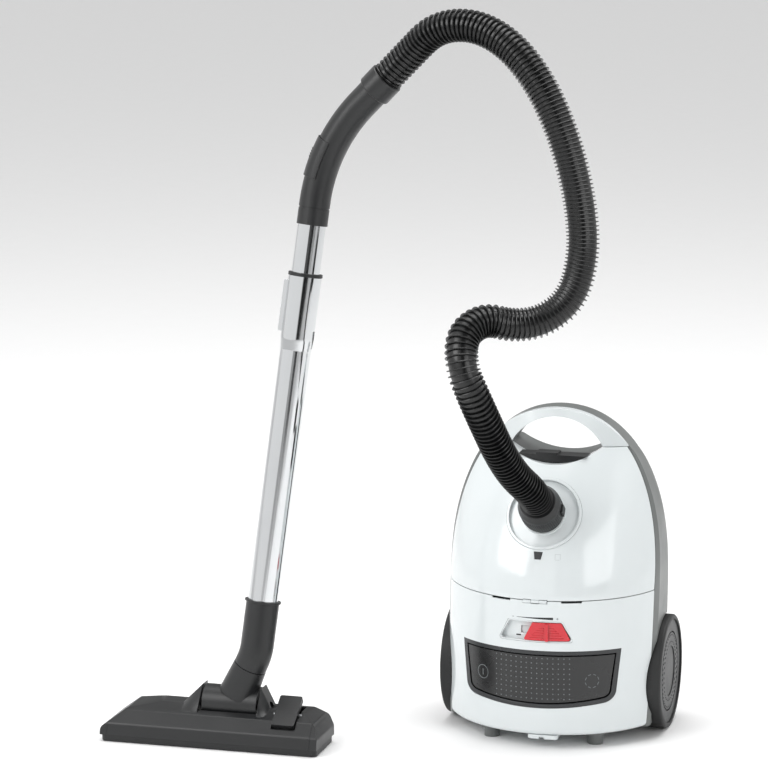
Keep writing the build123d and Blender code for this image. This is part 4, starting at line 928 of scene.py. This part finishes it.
@dataclass
class Wand:
    """Cuff, collar, grip, telescopic tubes and lock."""

    def build(self, repeat: Repeater) -> None:
        """Dresses the wand and adds its grip ribs."""
        for node, radius in (("handle_grip", 0.3), ("air_slider", 0.3), ("swivel_collar", 0.4),
                             ("hose_cuff", 0.4), ("cuff_button", 0.4), ("upper_tube", 0.0),
                             ("lower_tube", 0.0), ("lock_sleeve", 0.3), ("lock_slide", 0.3),
                             ("sleeve_ring", 0.4), ("neck_tube", 0.5), ("head_elbow", 0.4)):
            dressed(node, radius)
            LOG.info("wand part: %s", node)
        self.cuff_ribs(repeat)
        self.relief_ribs(repeat)
        self.lock_ribs(repeat)

    def cuff_ribs(self, repeat: Repeater) -> None:
        """Fine grip flutes round the cuff."""
        swivel = joint("hose_swivel")
        axis, centre = Vector(swivel["axis"]), Vector(swivel["pos_m"])
        across = Vector((1, 0, 0))
        up = axis.cross(across)
        flutes = []
        for i in range(60):
            turn = math.tau * i / 60
            if abs(math.atan2(math.sin(turn), math.cos(turn))) < 0.4:
                continue
            out = across * math.cos(turn) + up * math.sin(turn)
            flutes.append(Station(centre + axis * 14 * MM + out * 25 * MM, out, axis))
        tool = prism(bar_outline(19.0, 1.2, 0.5), -0.5, 0.45, 0.85)
        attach(repeat("cuff_flutes", tool, flutes, BLACK_PP), "hose_line")

    def relief_ribs(self, repeat: Repeater) -> None:
        """Four short ribs on the air-relief cover."""
        slide = joint("relief_slide")
        axis, centre = Vector(slide["axis"]), Vector(slide["pos_m"])
        skin = Surface("air_slider")
        low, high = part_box("air_slider")
        middle = (low + high) / 2
        spoke = (middle - centre)
        spoke = (spoke - axis * spoke.dot(axis)).normalized()
        ribs = []
        for i in range(4):
            turned = Matrix.Rotation(math.radians(0.9 * (i - 0.8)), 3, axis) @ spoke
            aim = (turned - axis * 0.62).normalized()
            start = centre + turned * 190 * MM + aim * 60 * MM
            spot, normal = skin.hit(start, -aim)
            ribs.append(Station(spot, normal, normal.cross(axis.cross(turned)).normalized()))
        tool = prism(bar_outline(7.0, 1.1, 0.5), -0.3, 0.6, 0.85)
        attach(repeat("relief_ribs", tool, ribs, CHARCOAL_PP), "relief")

    def lock_ribs(self, repeat: Repeater) -> None:
        """Thumb ribs across the lock slide."""
        way = Vector(joint("tube_slide")["axis"])
        skin = Surface("lock_slide")
        low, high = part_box("lock_slide")
        centre = (low + high) / 2
        out = Vector((-1, 0, 0))
        out = (out - way * out.dot(way)).normalized()
        side = way.cross(out).normalized()
        ribs = []
        for i in range(6):
            start = centre + way * (i - 2.5) * 3.2 * MM + out * 30 * MM
            spot, normal = skin.hit(start, -out)
            ribs.append(Station(spot, out, side))
        tool = prism(bar_outline(9.0, 1.3, 0.6), -0.3, 0.6, 0.8)
        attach(repeat("lock_ribs", tool, ribs, CHROME), "wand_lock")


@dataclass
class FloorHead:
    """Floor head, its pedal, sole and bristles."""

    bristle_step: float = 2.2

    def build(self, repeat: Repeater) -> None:
        """Dresses the head and plants its bristles."""
        for node, radius in (("head_cover", 3.2), ("end_caps", 1.2), ("sole_plate", 0.5),
                             ("brush_carrier", 0.3), ("rocker_pedal", 0.5), ("head_rollers", 0.4)):
            dressed(node, radius)
            LOG.info("head part: %s", node)
        low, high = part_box("bristle_strip")
        tufts = []
        count = int((high.x - low.x) / (self.bristle_step * MM))
        for i in range(count + 1):
            x = low.x + (high.x - low.x) * i / count
            for row in (0.25, 0.75):
                y = low.y + (high.y - low.y) * row
                tufts.append(Station(Vector((x, y, low.z + 0.1 * MM)), Vector((0, 0, 1)), Vector((1, 0, 0))))
        height = (high.z - low.z) / MM
        tool = prism(disc_outline(0.95, 7), 0.0, height, 0.7)
        bristles = repeat("bristle_tufts", tool, tufts, BRISTLE_PA)
        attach(bristles, "brush")
        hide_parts("bristle_strip")


@dataclass
class DustBag:
    """Filled fleece bag inside the canister."""

    def build(self) -> None:
        """Makes a crowned, slightly slumped bag."""
        low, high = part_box("dust_bag")
        body_low = Vector((low.x, low.y + 12 * MM, low.z))
        centre = (body_low + high) / 2
        half = (high - body_low) / 2

        def build(bm: bmesh.types.BMesh) -> None:
            bmesh.ops.create_cube(bm, size=2.0)
            bmesh.ops.subdivide_edges(bm, edges=bm.edges, cuts=14, use_grid_fill=True)
            for v in bm.verts:
                x, y, z = v.co
                pinch = 0.93 - 0.10 * z * z - 0.08 * x * x
                sag = 1 + 0.05 * (1 - z)
                wrinkle = 0.02 * math.sin(9 * x + 4 * z) * math.cos(7 * z - 2 * y)
                soft = 1 - 0.16 * (x * x * y * y + y * y * z * z + x * x * z * z)
                v.co = Vector((centre.x + half.x * x * soft * min(1.0, 0.94 * sag),
                               centre.y + half.y * y * (pinch + wrinkle) * soft,
                               centre.z + half.z * z * soft * 0.97))
        mesh = mesh_from(build, "bag")
        smooth(mesh, 60)
        bag = new_piece("dust_bag_fleece", mesh, BAG_FLEECE)
        soften = bag.modifiers.new("soft", "SUBSURF")
        soften.levels = soften.render_levels = 1
        baked(bag)
        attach(bag, "canister")
        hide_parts("dust_bag")
        LOG.info("dust bag done")


def dress_inner_parts() -> None:
    """Gives every CAD node that stays shown its finish."""
    for name, node in frame["nodes"].items():
        node.data.materials.clear()
        node.data.materials.append(NODE_FINISH.get(name, STEEL).make())


def main() -> None:
    """Builds the scene in order."""
    logging.basicConfig(level=logging.INFO, format="%(name)s: %(message)s")
    Studio().build()
    repeat = Repeater()
    dress_inner_parts()
    Hose().build(repeat)
    Canister().build(repeat)
    Wheels().build(repeat)
    Wand().build(repeat)
    FloorHead().build(repeat)
    DustBag().build()


if __name__ == "__main__":
    main()
